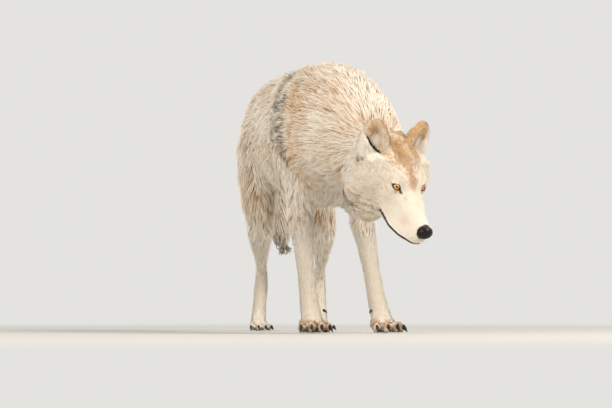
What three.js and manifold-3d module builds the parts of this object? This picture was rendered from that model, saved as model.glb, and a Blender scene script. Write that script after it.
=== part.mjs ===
// Arctic wolf, life size, standing with its head lowered and turned to its own left.
// Millimetres, +Z up. The wolf faces -Y and its left side is +X.
// Every outline is that of the winter coat, out to the tips of the fur.
// The flesh is modelled whole, as lofts that run along the spine and the bones, and is
// then parted with thin cuts where the parts of the body meet.

import * as THREE from "three";
import { mergeVertices } from "three/addons/utils/BufferGeometryUtils.js";
import Module from "manifold-3d";

const wasm = await Module();
wasm.setup();

// ---------------------------------------------------------------- driving dimensions

const GAP = 0.3; // clear space between neighbouring parts
const BACK_HEIGHT = 728; // top of the coat over the back
const SHOULDER_Y = 120; // the widest place of the mane
const HIP_Y = 560; // the widest place of the hindquarters
const ELBOW_HEIGHT = 325;
const KNEE_HEIGHT = 300;
const HOCK_HEIGHT = 150;
const FORE_ANKLE_HEIGHT = 62;
const HIND_ANKLE_HEIGHT = 56;
const EYE_SPACING = 84; // between the centres of the eyes
const EYE_RADIUS = 12.5;
const HEAD_AT = new THREE.Vector3(71, -367, 382); // the point midway between the eyes
const HEAD_PITCH = THREE.MathUtils.degToRad(42); // nose down
const HEAD_YAW = THREE.MathUtils.degToRad(20); // to the wolf's left
const RIGHT = -1; // sign of X on each side of the body
const LEFT = 1;

const COLOURS = {
  coat: "#e6dccb",
  mane: "#e9e0d0",
  face: "#efe6d8",
  ear: "#d9b48c",
  leg: "#f1eadf",
  nose: "#17130f",
  eye: "#d98a12",
  claw: "#2b2320",
};

function material(colour, roughness = 0.9) {
  return new THREE.MeshStandardMaterial({ color: COLOURS[colour], roughness, metalness: 0 });
}

// ---------------------------------------------------------------- solids

// A closed geometry as a solid that can be cut and joined.
function solidOf(geometry) {
  const bare = geometry.index ? geometry.toNonIndexed() : geometry.clone();
  bare.deleteAttribute("normal");
  bare.deleteAttribute("uv");
  const merged = mergeVertices(bare, 1e-3);
  return new wasm.Manifold(
    new wasm.Mesh({
      numProp: 3,
      vertProperties: merged.attributes.position.array,
      triVerts: new Uint32Array(merged.index.array),
    }),
  );
}

function geometryOf(solid) {
  const mesh = solid.getMesh();
  const geometry = new THREE.BufferGeometry();
  geometry.setAttribute("position", new THREE.BufferAttribute(mesh.vertProperties, 3));
  geometry.setIndex(new THREE.BufferAttribute(mesh.triVerts, 1));
  geometry.computeVertexNormals();
  return geometry;
}

// A closed skin over rings that follow a curve through the stations. A station gives the
// middle of its ring, the half width, and how far the ring reaches over and under the middle.
// Over is up on a part that runs backwards, and towards the tail on a leg that runs down.
function loft(stations, { sides, rings, square = 2 }) {
  const spine = new THREE.CatmullRomCurve3(stations.map((s) => new THREE.Vector3(...s.at)), false, "catmullrom");
  const girth = new THREE.CatmullRomCurve3(
    stations.map((s) => new THREE.Vector3(s.wide, s.over, s.under)), false, "catmullrom");
  const places = [];
  const left = new THREE.Vector3(1, 0, 0);
  for (let ring = 0; ring <= rings; ring++) {
    const t = ring / rings;
    const middle = spine.getPoint(t);
    const along = spine.getTangent(t);
    const side = left.clone().addScaledVector(along, -left.dot(along)).normalize();
    const over = side.clone().cross(along);
    const size = girth.getPoint(t);
    for (let i = 0; i < sides; i++) {
      const angle = (2 * Math.PI * i) / sides;
      const across = Math.sign(Math.cos(angle)) * Math.abs(Math.cos(angle)) ** (2 / square);
      const rise = Math.sign(Math.sin(angle)) * Math.abs(Math.sin(angle)) ** (2 / square);
      places.push(middle.clone()
        .addScaledVector(side, across * size.x)
        .addScaledVector(over, rise * (rise > 0 ? size.y : size.z)));
    }
  }
  const first = places.push(spine.getPoint(0)) - 1;
  const last = places.push(spine.getPoint(1)) - 1;
  const faces = [];
  for (let i = 0; i < sides; i++) {
    const j = (i + 1) % sides;
    faces.push(first, i, j, last, rings * sides + j, rings * sides + i);
    for (let ring = 0; ring < rings; ring++) {
      const [a, b] = [ring * sides + i, ring * sides + j];
      faces.push(a, a + sides, b, b, a + sides, b + sides);
    }
  }
  const geometry = new THREE.BufferGeometry().setFromPoints(places);
  geometry.setIndex(faces);
  return geometry;
}

// An ellipsoid, turned about Z.
function egg(at, radii, yaw = 0, [around, rows] = [16, 10]) {
  return new THREE.SphereGeometry(1, around, rows)
    .rotateX(Math.PI / 2)
    .scale(...radii)
    .rotateZ(yaw)
    .translate(...at);
}

// A box from its lowest to its highest corner.
function block(low, high) {
  const size = high.map((h, i) => h - low[i]);
  return new THREE.BoxGeometry(...size).translate(...low.map((l, i) => l + size[i] / 2));
}

// Moves the points near each form by its push, most at the middle and none past its reach.
function sculpt(geometry, forms) {
  const position = geometry.attributes.position;
  const point = new THREE.Vector3();
  for (let i = 0; i < position.count; i++) {
    point.fromBufferAttribute(position, i);
    for (const { at, reach, push } of forms) {
      const near = 1 - Math.min(1, point.distanceTo(new THREE.Vector3(...at)) / reach);
      point.addScaledVector(new THREE.Vector3(...push), near * near * (3 - 2 * near));
    }
    position.setXYZ(i, point.x, point.y, point.z);
  }
  return geometry;
}

function placed(solid, matrix) {
  return solidOf(geometryOf(solid).applyMatrix4(matrix));
}

function join(...geometries) {
  return geometries.map(solidOf).reduce((a, b) => a.add(b));
}

// ---------------------------------------------------------------- head
// In the head's own frame: the origin midway between the eyes, the nose towards -Y.

const headPlace = new THREE.Matrix4().compose(
  HEAD_AT,
  new THREE.Quaternion().setFromEuler(new THREE.Euler(HEAD_PITCH, 0, HEAD_YAW, "ZXY")),
  new THREE.Vector3(1, 1, 1),
);
const NOSE_AT = [0, -130, -43];
const MOUTH_HEIGHT = -85;
const MOUTH_CORNER_Y = -4;

const HEAD_STATIONS = [
  { at: [0, -132, -58], wide: 13, over: 18, under: 22 }, // front of the lips
  { at: [0, -124, -57], wide: 25, over: 28, under: 32 },
  { at: [0, -90, -54], wide: 33, over: 37, under: 47 }, // bridge of the muzzle
  { at: [0, -55, -48], wide: 38, over: 40, under: 58 },
  { at: [0, -25, -40], wide: 46, over: 46, under: 64 }, // stop
  { at: [0, 2, -35], wide: 58, over: 57, under: 67 }, // eyes
  { at: [0, 32, -30], wide: 74, over: 73, under: 76 }, // forehead
  { at: [0, 66, -32], wide: 90, over: 84, under: 84 }, // between the ears
  { at: [0, 102, -36], wide: 102, over: 92, under: 90 },
  { at: [0, 140, -40], wide: 104, over: 92, under: 90 }, // nape
  { at: [0, 172, -44], wide: 80, over: 72, under: 70 },
];

function headForms(side) {
  return [
    { at: [side * 46, -14, 0], reach: 26, push: [side * -5, 5, 0] }, // hollow in front of the eye
    { at: [side * 34, 8, 26], reach: 30, push: [side * 3, -6, 5] }, // brow
    { at: [side * 62, 20, -40], reach: 40, push: [side * 5, -3, 2] }, // cheekbone
    { at: [side * 30, -85, -22], reach: 28, push: [side * -4, 0, -4] }, // flank of the muzzle
    { at: [side * 27, -98, -78], reach: 36, push: [side * 8, 0, -3] }, // pad of the whiskers
    { at: [side * 38, -58, -80], reach: 46, push: [side * 12, 0, -14] }, // hanging edge of the upper lip
    { at: [side * 48, -18, -82], reach: 42, push: [side * 14, 0, -20] }, // corner of the mouth
    { at: [side * 70, 62, 4], reach: 52, push: [side * 7, 0, 3] }, // temple
  ];
}

// The ruff of long fur that stands out behind each cheek and hangs under the throat.
function cheekRuff(side) {
  return [
    egg([side * 72, 88, -48], [59, 64, 87], 0, [10, 6]),
    egg([side * 45, 58, -98], [54, 60, 64], 0, [8, 5]),
  ];
}

// The mane's front end, which stands up behind the crown and fills the nape.
const NAPE_RUFF = { at: [2, 146, 14], radii: [68, 58, 54] };

function headFlesh() {
  const skull = sculpt(loft(HEAD_STATIONS, { sides: 16, rings: 13, square: 2.3 }), [
    ...headForms(LEFT),
    ...headForms(RIGHT),
    { at: [0, 20, 44], reach: 22, push: [0, 0, -3] }, // furrow down the forehead
    { at: [6, 98, 56], reach: 66, push: [0, 4, 13] }, // crown
  ]);
  const nape = egg(NAPE_RUFF.at, NAPE_RUFF.radii, 0, [10, 6]);
  return join(skull, nape, ...cheekRuff(LEFT), ...cheekRuff(RIGHT));
}

// A rounded, cupped ear. The outer form less a hollow that opens forwards and outwards.
const EAR_STATIONS = [
  { at: [0, 0, -20], wide: 38, over: 24, under: 22 },
  { at: [0, 0, 8], wide: 46, over: 25, under: 22 },
  { at: [0, 3, 40], wide: 43, over: 20, under: 16 },
  { at: [0, 6, 66], wide: 37, over: 14, under: 11 },
  { at: [0, 9, 84], wide: 26, over: 9, under: 7 },
  { at: [0, 11, 94], wide: 12, over: 4, under: 4 },
];
const EAR_HOLLOW = { at: [0, -15, 38], radii: [29, 18, 46] };

// How far out each ear stands, how far its tip leans back and out, and how far its opening is
// turned outwards. The right ear is turned to the side, and the left one let down.
const EAR_CARRIAGE = {
  [RIGHT]: { out: 76, back: 0.22, lean: 0.22, turn: 0.26 },
  [LEFT]: { out: 45, back: 0.3, lean: 0.4, turn: 0.22 },
};
const EAR_ROOT = { y: 103, z: 27 };

function earMatrix(side) {
  const { out, back, lean, turn } = EAR_CARRIAGE[side];
  return new THREE.Matrix4()
    .makeRotationX(-back)
    .multiply(new THREE.Matrix4().makeRotationY(side * lean))
    .multiply(new THREE.Matrix4().makeRotationZ(side * turn))
    .setPosition(side * out, EAR_ROOT.y, EAR_ROOT.z);
}

function earFlesh(side) {
  const outer = solidOf(loft([...EAR_STATIONS].reverse(), { sides: 8, rings: 6 }));
  const hollow = solidOf(egg(EAR_HOLLOW.at, EAR_HOLLOW.radii, 0, [8, 5]));
  return placed(outer.subtract(hollow), earMatrix(side));
}

function eyeball(side, grow) {
  return egg([side * EYE_SPACING / 2, 3, 0], Array(3).fill(EYE_RADIUS + grow), 0, [10, 6]);
}

const NOSE_RADII = [22, 17, 19.5];
const NOSTRIL = { at: [10, -14, -3], radii: [4.5, 7, 6] };

function noseSolid(grow) {
  const pad = egg([0, 0, 0], NOSE_RADII.map((r) => r + grow), 0, [10, 7]);
  const form = sculpt(pad, [
    { at: [0, -14, -16], reach: 16, push: [0, 3, 2] }, // drawn in above the lip
    { at: [0, 6, 16], reach: 18, push: [0, 0, -3] }, // flat on top
  ]);
  const nostrils = [LEFT, RIGHT].map((side) =>
    solidOf(egg([side * NOSTRIL.at[0], NOSTRIL.at[1], NOSTRIL.at[2]], NOSTRIL.radii, 0, [6, 4])));
  const pierced = nostrils.reduce((pad, hole) => pad.subtract(hole), solidOf(form));
  return pierced.translate(NOSE_AT);
}

// ---------------------------------------------------------------- trunk, neck and tail

const TRUNK_STATIONS = [
  { at: [0, -60, 500], wide: 70, over: 90, under: 70 }, // breast
  { at: [-4, -20, 515], wide: 120, over: 150, under: 130 },
  { at: [-8, SHOULDER_Y - 60, 520], wide: 144, over: 188, under: 178 },
  { at: [-8, SHOULDER_Y + 60, 522], wide: 148, over: BACK_HEIGHT - 522, under: 190 }, // girth
  { at: [-4, 310, 528], wide: 140, over: BACK_HEIGHT - 528, under: 172 },
  { at: [0, 430, 540], wide: 126, over: BACK_HEIGHT - 544, under: 140 }, // waist
  { at: [0, HIP_Y - 20, 545], wide: 128, over: BACK_HEIGHT - 549, under: 130 }, // hips
  { at: [0, HIP_Y + 70, 545], wide: 104, over: 156, under: 110 },
  { at: [0, 695, 555], wide: 66, over: 98, under: 80 }, // buttocks
  { at: [0, 718, 560], wide: 28, over: 40, under: 40 },
];

const NECK_STATIONS = [
  { at: [34, -265, 426], wide: 80, over: 68, under: 60 }, // behind the skull
  { at: [26, -205, 458], wide: 112, over: 92, under: 98 },
  { at: [10, -130, 503], wide: 138, over: 128, under: 140 }, // mane
  { at: [-6, -40, 542], wide: 156, over: 162, under: 172 },
  { at: [-14, 50, 558], wide: 162, over: 168, under: 168 },
  { at: [-15, SHOULDER_Y + 10, 558], wide: 158, over: 164, under: 150 }, // cape over the shoulders
  { at: [-10, 200, 552], wide: 128, over: 134, under: 110 },
];

const TAIL_STATIONS = [
  { at: [0, 640, 650], wide: 30, over: 28, under: 28 }, // root
  { at: [2, 708, 612], wide: 40, over: 40, under: 38 },
  { at: [12, 746, 530], wide: 48, over: 46, under: 44 },
  { at: [32, 762, 420], wide: 51, over: 48, under: 48 },
  { at: [52, 762, 315], wide: 45, over: 42, under: 42 },
  { at: [68, 756, 240], wide: 28, over: 26, under: 26 },
  { at: [78, 752, 202], wide: 6, over: 6, under: 6 }, // tip
];

const TAIL_DETAIL = { sides: 10, rings: 9 };

// ---------------------------------------------------------------- legs
// Each leg is named by its joints from the body down. A girth is a share of the way along
// one bone, from that bone's upper joint.

const FORELEGS = {
  foreleg_right: {
    side: RIGHT,
    joints: [[-92, 66, 520], [-88, 78, ELBOW_HEIGHT], [-79, 34, 92], [-75, 12, 30]],
    paw: { at: [-78, 2, 0], yaw: -0.12, size: 1.02 },
  },
  foreleg_left: {
    side: LEFT,
    joints: [[82, 60, 520], [84, 74, ELBOW_HEIGHT], [113, 32, 92], [123, 12, 30]],
    paw: { at: [124, 2, 0], yaw: 0.08, size: 1.0 },
  },
};
const HINDLEGS = {
  hindleg_right: {
    side: RIGHT,
    joints: [[-74, 570, 540], [-66, 548, KNEE_HEIGHT], [-16, 700, HOCK_HEIGHT], [-40, 652, 24]],
    paw: { at: [-42, 636, 0], yaw: -0.1, size: 0.76 },
  },
  hindleg_left: {
    side: LEFT,
    joints: [[76, 556, 540], [118, 530, KNEE_HEIGHT], [150, 678, HOCK_HEIGHT], [137, 626, 24]],
    paw: { at: [133, 612, 0], yaw: 0, size: 0.76 },
  },
};
const FORE_GIRTHS = [
  { bone: 0, share: 0, wide: 40, over: 80, under: 66 }, // shoulder
  { bone: 0, share: 0.5, wide: 46, over: 68, under: 60 },
  { bone: 0, share: 1, wide: 40, over: 48, under: 40 }, // elbow
  { bone: 1, share: 0.32, wide: 31, over: 36, under: 31 }, // forearm
  { bone: 1, share: 0.7, wide: 26, over: 28, under: 26 },
  { bone: 1, share: 1, wide: 28, over: 27, under: 27 }, // wrist
  { bone: 2, share: 0.55, wide: 30, over: 28, under: 26 }, // pastern
  { bone: 2, share: 1, wide: 30, over: 26, under: 24 },
];
const HIND_GIRTHS = [
  { bone: 0, share: 0, wide: 50, over: 100, under: 92 }, // hip
  { bone: 0, share: 0.5, wide: 58, over: 90, under: 76 }, // thigh
  { bone: 0, share: 1, wide: 42, over: 60, under: 44 }, // knee
  { bone: 1, share: 0.4, wide: 31, over: 38, under: 36 }, // shank
  { bone: 1, share: 0.78, wide: 16, over: 24, under: 26 },
  { bone: 1, share: 1, wide: 22, over: 26, under: 24 }, // hock
  { bone: 2, share: 0.5, wide: 21, over: 23, under: 22 },
  { bone: 2, share: 1, wide: 23, over: 24, under: 23 }, // ankle
];

function limb({ joints }, girths) {
  const stations = girths.map(({ bone, share, wide, over, under }) => {
    const at = new THREE.Vector3(...joints[bone]).lerp(new THREE.Vector3(...joints[bone + 1]), share);
    return { at: at.toArray(), wide, over, under };
  });
  return loft(stations, { sides: 10, rings: 9 });
}

// A paw in its own frame: the origin on the floor, the toes towards -Y.
const TOES = [
  { at: [-33, -26, 15], yaw: -0.3 },
  { at: [-12, -43, 16], yaw: -0.07 },
  { at: [12, -43, 16], yaw: 0.07 },
  { at: [33, -26, 15], yaw: 0.3 },
];
const TOE_RADII = [11.5, 26, 18];
const PALM = { at: [0, 9, 24], radii: [38, 42, 27] };
const DEWCLAW = { at: [33, 14, 60], yaw: 0.7 }; // on the inner side
const CLAW_LENGTH = 22;
const CLAW_GIRTH = 7; // half the claw's height at its root
const CLAW_BEND = 1.1; // radians

function pawMatrix({ at, yaw, size }) {
  return new THREE.Matrix4().compose(
    new THREE.Vector3(...at),
    new THREE.Quaternion().setFromAxisAngle(new THREE.Vector3(0, 0, 1), yaw),
    new THREE.Vector3(size, size, size),
  );
}

function pawFlesh(paw) {
  const forms = [
    egg(PALM.at, PALM.radii, 0, [8, 5]),
    ...TOES.map((toe) => egg(toe.at, TOE_RADII, toe.yaw, [6, 4])),
  ];
  return join(...forms.map((form) => form.applyMatrix4(pawMatrix(paw))));
}

// A claw that grows from the origin towards -Y and bends down through CLAW_BEND.
function clawGeometry(grow = 0) {
  const stations = [0, 0.35, 0.7, 1].map((share) => {
    const thick = CLAW_GIRTH * (1 - share) ** 0.6 + 0.5 + grow;
    const length = CLAW_LENGTH + grow;
    return {
      at: [0, 4 + grow - length * Math.sin(share * CLAW_BEND), length * (Math.cos(share * CLAW_BEND) - 1)],
      wide: 0.9 * thick,
      over: thick,
      under: thick,
    };
  });
  return loft([...stations].reverse(), { sides: 5, rings: 2 });
}

// Where each claw of a leg grows, as matrices. Only a foreleg has a dewclaw.
function clawPlaces({ paw, side }, hasDewclaw) {
  const reach = TOE_RADII[1] - 6;
  const places = TOES.map(({ at: [x, y, z], yaw }) => new THREE.Matrix4()
    .makeRotationZ(yaw)
    .setPosition(x + Math.sin(yaw) * reach, y - Math.cos(yaw) * reach, z + 3));
  if (hasDewclaw) {
    const [x, y, z] = DEWCLAW.at;
    places.push(new THREE.Matrix4().makeRotationZ(-side * DEWCLAW.yaw).setPosition(-side * x, y, z));
  }
  return places.map((place) => place.premultiply(pawMatrix(paw)));
}

// ---------------------------------------------------------------- the whole, and its parting

function wholeBody() {
  const spine = join(
    loft(TRUNK_STATIONS, { sides: 16, rings: 12 }),
    loft(NECK_STATIONS, { sides: 16, rings: 8 }),
    loft(TAIL_STATIONS, TAIL_DETAIL),
  );
  const head = placed(headFlesh().add(earFlesh(LEFT)).add(earFlesh(RIGHT)), headPlace);
  const underFloor = solidOf(block([-600, -900, -100], [600, 1200, 0]));
  return limbs
    .reduce((body, { leg, girths }) => body.add(solidOf(limb(leg, girths))).add(pawFlesh(leg.paw)), spine.add(head))
    .subtract(underFloor);
}

// ---------------------------------------------------------------- parting
// A region says what one part takes of the flesh that is left. What stays behind loses the
// same region grown by GAP.

function boxRegion(low, high, matrix = new THREE.Matrix4()) {
  const [inner, outer] = [0, GAP].map((grow) =>
    solidOf(block(low.map((l) => l - grow), high.map((h) => h + grow)).applyMatrix4(matrix)));
  return { inner, outer };
}

function eggRegion(at, radii, matrix = new THREE.Matrix4()) {
  const [inner, outer] = [0, GAP].map((grow) =>
    solidOf(egg(at, radii.map((r) => r + grow), 0, [10, 6]).applyMatrix4(matrix)));
  return { inner, outer };
}

function loftRegion(stations, detail, margin) {
  const [inner, outer] = [margin, margin + GAP].map((grow) => solidOf(loft(
    stations.map((s) => ({ ...s, wide: s.wide + grow, over: s.over + grow, under: s.under + grow })), detail)));
  return { inner, outer };
}

// The neck lies in front of a plane that slopes from the withers down to the breast.
const NECK_CUT = new THREE.Matrix4().makeRotationX(-0.24).setPosition(0, -4, 520);

// The ears stand on a plane across the crown.
function earRegion(side) {
  return boxRegion([-54, -46, -4], [54, 50, 120], earMatrix(side).premultiply(headPlace));
}

// The bones of a foreleg and of a hindleg: what each length is called, the heights at which
// the lengths below the body are cut, and the egg that takes the top of the leg.
const FORE_CUTS = {
  lengths: ["paw", "forearm", "shoulder"],
  heights: [-20, FORE_ANKLE_HEIGHT, ELBOW_HEIGHT - 30],
  midline: 12, // X of the space between the two legs
  top: { shift: [0, 8, -4], radii: [84, 104, 165] },
};
const HIND_CUTS = {
  lengths: ["paw", "hock", "shank", "thigh"],
  heights: [-20, HIND_ANKLE_HEIGHT, HOCK_HEIGHT + 18, KNEE_HEIGHT - 10],
  midline: 44,
  top: { shift: [0, 24, -6], radii: [92, 138, 190] },
};
const limbs = [
  ...Object.entries(FORELEGS).map(([name, leg]) => ({ name, leg, girths: FORE_GIRTHS, cuts: FORE_CUTS })),
  ...Object.entries(HINDLEGS).map(([name, leg]) => ({ name, leg, girths: HIND_GIRTHS, cuts: HIND_CUTS })),
];
const TOP_SPREAD = 1.12; // how far out the egg lies, as a share of the bone's distance
const FAR = 320; // past the outside of any leg

function legRegions({ name, leg, cuts }) {
  const [root, upper] = leg.joints;
  const [left, right] = leg.side === LEFT ? [cuts.midline, FAR] : [-FAR, cuts.midline];
  const slabs = cuts.heights.slice(1).map((high, i) => {
    const low = cuts.heights[i] + (i ? GAP : 0);
    const region = boxRegion([left, root[1] - FAR, low], [right, root[1] + FAR, high]);
    return [`${name}_${cuts.lengths[i]}`, region, "leg"];
  });
  const middle = new THREE.Vector3(...root).lerp(new THREE.Vector3(...upper), 0.5);
  middle.x *= TOP_SPREAD;
  middle.add(new THREE.Vector3(...cuts.top.shift));
  return [...slabs, [`${name}_${cuts.lengths.at(-1)}`, eggRegion(middle.toArray(), cuts.top.radii), "coat"]];
}

// The regions in the order in which they are cut. What is left over at the end is the trunk.
function regions() {
  return [
    ["ear_left", earRegion(LEFT), "ear"],
    ["ear_right", earRegion(RIGHT), "ear"],
    ["lower_jaw", boxRegion([-70, -170, -140], [70, MOUTH_CORNER_Y, MOUTH_HEIGHT], headPlace), "face"],
    ["head", eggRegion([0, 5, -30], [182, 168, 160], headPlace), "face"],
    ["tail", loftRegion(TAIL_STATIONS, TAIL_DETAIL, 1), "coat"],
    ["neck", boxRegion([-300, -420, -420], [300, 0, 400], NECK_CUT), "mane"],
    ...limbs.flatMap(legRegions),
  ];
}

// ---------------------------------------------------------------- assembly

const meshes = [];

// Slivers that a cut leaves behind are dropped with everything but a part's largest body.
function addPart(name, solid, colour, roughness) {
  const [largest] = solid.decompose().sort((a, b) => b.volume() - a.volume());
  const mesh = new THREE.Mesh(geometryOf(largest), material(colour, roughness));
  mesh.name = name;
  meshes.push(mesh);
}

function placedEye(side, grow) {
  return solidOf(eyeball(side, grow).applyMatrix4(headPlace));
}

let rest = wholeBody();
for (const side of [RIGHT, LEFT]) {
  rest = rest.subtract(placedEye(side, GAP));
  addPart(side === LEFT ? "eye_left" : "eye_right", placedEye(side, 0), "eye", 0.15);
}
rest = rest.subtract(placed(noseSolid(GAP), headPlace));
addPart("nose", placed(noseSolid(0), headPlace), "nose", 0.35);
for (const { name, leg, cuts } of limbs) {
  clawPlaces(leg, cuts === FORE_CUTS).forEach((place, i) => {
    rest = rest.subtract(solidOf(clawGeometry(GAP).applyMatrix4(place)));
    const kind = i < TOES.length ? `claw_${i + 1}` : "dewclaw";
    addPart(`${name}_${kind}`, solidOf(clawGeometry().applyMatrix4(place)), "claw", 0.5);
  });
}
for (const [name, region, colour] of regions()) {
  addPart(name, rest.intersect(region.inner), colour);
  rest = rest.subtract(region.outer);
}
addPart("trunk", rest, "coat");

// Each mesh turns about its own middle, and the wolf stands on the middle of its own box.
const wolf = new THREE.Group();
wolf.name = "arctic_wolf";
const bounds = new THREE.Box3();
for (const mesh of meshes) {
  bounds.expandByObject(mesh);
  mesh.geometry.computeBoundingBox();
  const middle = mesh.geometry.boundingBox.getCenter(new THREE.Vector3());
  mesh.geometry.translate(-middle.x, -middle.y, -middle.z);
  mesh.position.copy(middle);
  wolf.add(mesh);
}
const base = bounds.getCenter(new THREE.Vector3()).setZ(bounds.min.z);
for (const mesh of meshes) mesh.position.sub(base);

export default wolf;
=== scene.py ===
# %% [markdown]
# # An arctic wolf in its winter coat
# The wolf is a still, life-size model: bones and muscle are one closed body, and what the eye sees
# is hair. So the work has two halves. First one skin is laid just inside the body's outline, with
# lids, lips, ears and toes. Then the coat grows on it, lock by lock, until it fills the outline.
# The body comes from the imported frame, which also says where everything else goes.

# %% Load the frame
import math

import bmesh
import bpy
import numpy as np
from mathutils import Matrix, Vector
from mathutils.bvhtree import BVHTree
from mathutils.kdtree import KDTree


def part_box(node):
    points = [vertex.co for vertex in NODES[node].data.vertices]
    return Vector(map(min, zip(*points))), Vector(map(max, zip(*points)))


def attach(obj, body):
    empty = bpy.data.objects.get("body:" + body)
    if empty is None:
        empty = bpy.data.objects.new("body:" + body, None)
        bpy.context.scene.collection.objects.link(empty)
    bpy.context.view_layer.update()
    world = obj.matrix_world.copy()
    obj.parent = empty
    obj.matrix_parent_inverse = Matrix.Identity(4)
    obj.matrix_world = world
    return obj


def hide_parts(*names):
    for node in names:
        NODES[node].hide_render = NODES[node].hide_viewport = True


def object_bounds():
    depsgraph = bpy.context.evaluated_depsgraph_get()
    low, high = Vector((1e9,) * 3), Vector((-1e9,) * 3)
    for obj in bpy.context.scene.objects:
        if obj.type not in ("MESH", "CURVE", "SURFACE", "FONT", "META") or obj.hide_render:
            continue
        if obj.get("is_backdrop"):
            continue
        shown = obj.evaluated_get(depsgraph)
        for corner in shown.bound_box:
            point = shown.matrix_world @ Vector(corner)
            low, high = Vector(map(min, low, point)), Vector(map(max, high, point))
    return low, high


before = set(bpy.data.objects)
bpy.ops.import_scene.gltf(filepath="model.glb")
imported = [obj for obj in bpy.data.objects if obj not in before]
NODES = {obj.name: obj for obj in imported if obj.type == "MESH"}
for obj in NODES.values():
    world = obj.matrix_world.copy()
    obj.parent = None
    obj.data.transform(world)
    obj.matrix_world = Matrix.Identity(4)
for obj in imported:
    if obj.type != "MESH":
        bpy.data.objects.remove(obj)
CAD_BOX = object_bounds()
MM = 0.001
print("the outline measures", [round(side, 3) for side in CAD_BOX[1] - CAD_BOX[0]])

# %% [markdown]
# The head is lowered and turned, so its features are placed in a frame of its own. The two eyes
# give its left, the nose pad its front, and the known angle between the nose and the level of the
# head gives its top. The origin lies midway between the eyes, the muzzle points to -Y, and places
# on the head are in millimetres.

# %% The head's own frame
NOSE_UNDER_LEVEL = math.atan2(43, 133)  # the pad lies about this far below and ahead of the eyes, in mm


def middle(node):
    low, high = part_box(node)
    return (low + high) / 2


def head_frame():
    right, left = middle("eye_right"), middle("eye_left")
    between = (right + left) / 2
    across = (left - right).normalized()
    to_nose = middle("nose") - between
    to_nose = (to_nose - across * to_nose.dot(across)).normalized()
    side = across.cross(to_nose)
    back = math.sin(NOSE_UNDER_LEVEL) * side - math.cos(NOSE_UNDER_LEVEL) * to_nose
    up = -math.cos(NOSE_UNDER_LEVEL) * side - math.sin(NOSE_UNDER_LEVEL) * to_nose
    return np.array((across, back, up)).T, np.array(between)


HEAD_TURN, HEAD_ORIGIN = head_frame()
EYE_X = (middle("eye_left") - middle("eye_right")).length / 2 / MM
EYE_RADIUS = (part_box("eye_left")[1].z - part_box("eye_left")[0].z) / 2 / MM


def on_head(places):
    """Places on the head, in its millimetres, as points of the model."""
    return np.asarray(places) * MM @ HEAD_TURN.T + HEAD_ORIGIN


def in_head(points):
    """Points of the model as places on the head, in its millimetres."""
    return (np.asarray(points) - HEAD_ORIGIN) @ HEAD_TURN / MM


print("eye centres", round(2 * EYE_X, 1), "mm apart, eyeballs", round(2 * EYE_RADIUS, 1), "mm across")

# %% [markdown]
# The camera stands low in front of the wolf, as a crouching visitor would, and looks along the
# wolf's side from ahead with a very long lens, so that near and far legs keep their true sizes.
# Its place is worked out from the head, which is what a visitor looks at.

# %% Camera
WATCH_DISTANCE = 10.104
WATCH_SIDE = math.radians(17)  # the line of sight runs this far to the wolf's left of straight back
WATCH_HEIGHT = 0.1
WATCH_TILT = math.radians(1.4034)
LENS_PER_WIDTH = 3750 / 612  # focal length over picture width
SENSOR = 36

BESIDE_HEAD, BEHIND_HEAD = -0.157, 0.398  # the spot looked at, from between the eyes
WATCHED = Vector((HEAD_ORIGIN[0] + BESIDE_HEAD, HEAD_ORIGIN[1] + BEHIND_HEAD, WATCH_HEIGHT))


def watch():
    lens = bpy.data.cameras.new("watcher")
    lens.sensor_width = SENSOR
    lens.lens = SENSOR * LENS_PER_WIDTH
    lens.clip_end = 100
    camera = bpy.data.objects.new("watcher", lens)
    ahead = Vector((math.sin(WATCH_SIDE), math.cos(WATCH_SIDE), 0))
    camera.location = WATCHED - ahead * WATCH_DISTANCE
    gaze = ahead * math.cos(WATCH_TILT) + Vector((0, 0, math.sin(WATCH_TILT)))
    camera.rotation_euler = gaze.to_track_quat("-Z", "Y").to_euler()
    bpy.context.scene.collection.objects.link(camera)
    bpy.context.scene.camera = camera
    return camera


camera = watch()
print("the camera stands at", [round(side, 3) for side in camera.location])

# %% [markdown]
# A material is a net of nodes, which is hard to read when it is wired by hand. So a socket is wrapped
# in a small class whose operators add Math nodes, and shader maths is written as it would be on
# paper. Colours are given as on a screen and turned into the linear light that a shader takes.

# %% Sums of sockets


def rgb(code):
    """A screen colour such as "f2ead8" as the linear colour that a shader takes."""
    parts = [int(code[i : i + 2], 16) / 255 for i in (0, 2, 4)]
    return [p / 12.92 if p < 0.04045 else ((p + 0.055) / 1.055) ** 2.4 for p in parts] + [1]


class Value:
    """A socket that does arithmetic: each operator adds the Math node that works it out."""

    def __init__(self, net, socket):
        self.net, self.socket = net, socket

    def _math(self, kind, *others):
        return self.net.add("ShaderNodeMath", {"operation": kind}, *others)

    def __add__(self, other):
        return self._math("ADD", self, other)

    def __mul__(self, other):
        return self._math("MULTIPLY", self, other)

    def __sub__(self, other):
        return self._math("SUBTRACT", self, other)

    def step(self, low, high):
        """0 below low, 1 above high, smooth between."""
        settings = {"interpolation_type": "SMOOTHSTEP"}
        return self.net.add("ShaderNodeMapRange", settings, self, low, high)


print("mid grey is", round(rgb("808080")[0], 3), "in linear light")

# %% [markdown]
# One method adds any other node. Colours are mixed with Mix nodes, because a Math node would turn
# them grey. Number and colour maps that the mesh carries come in through one method, and patterns
# through others, all laid out in the model's own space so that they keep their size.

# %% Nets of nodes


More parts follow.
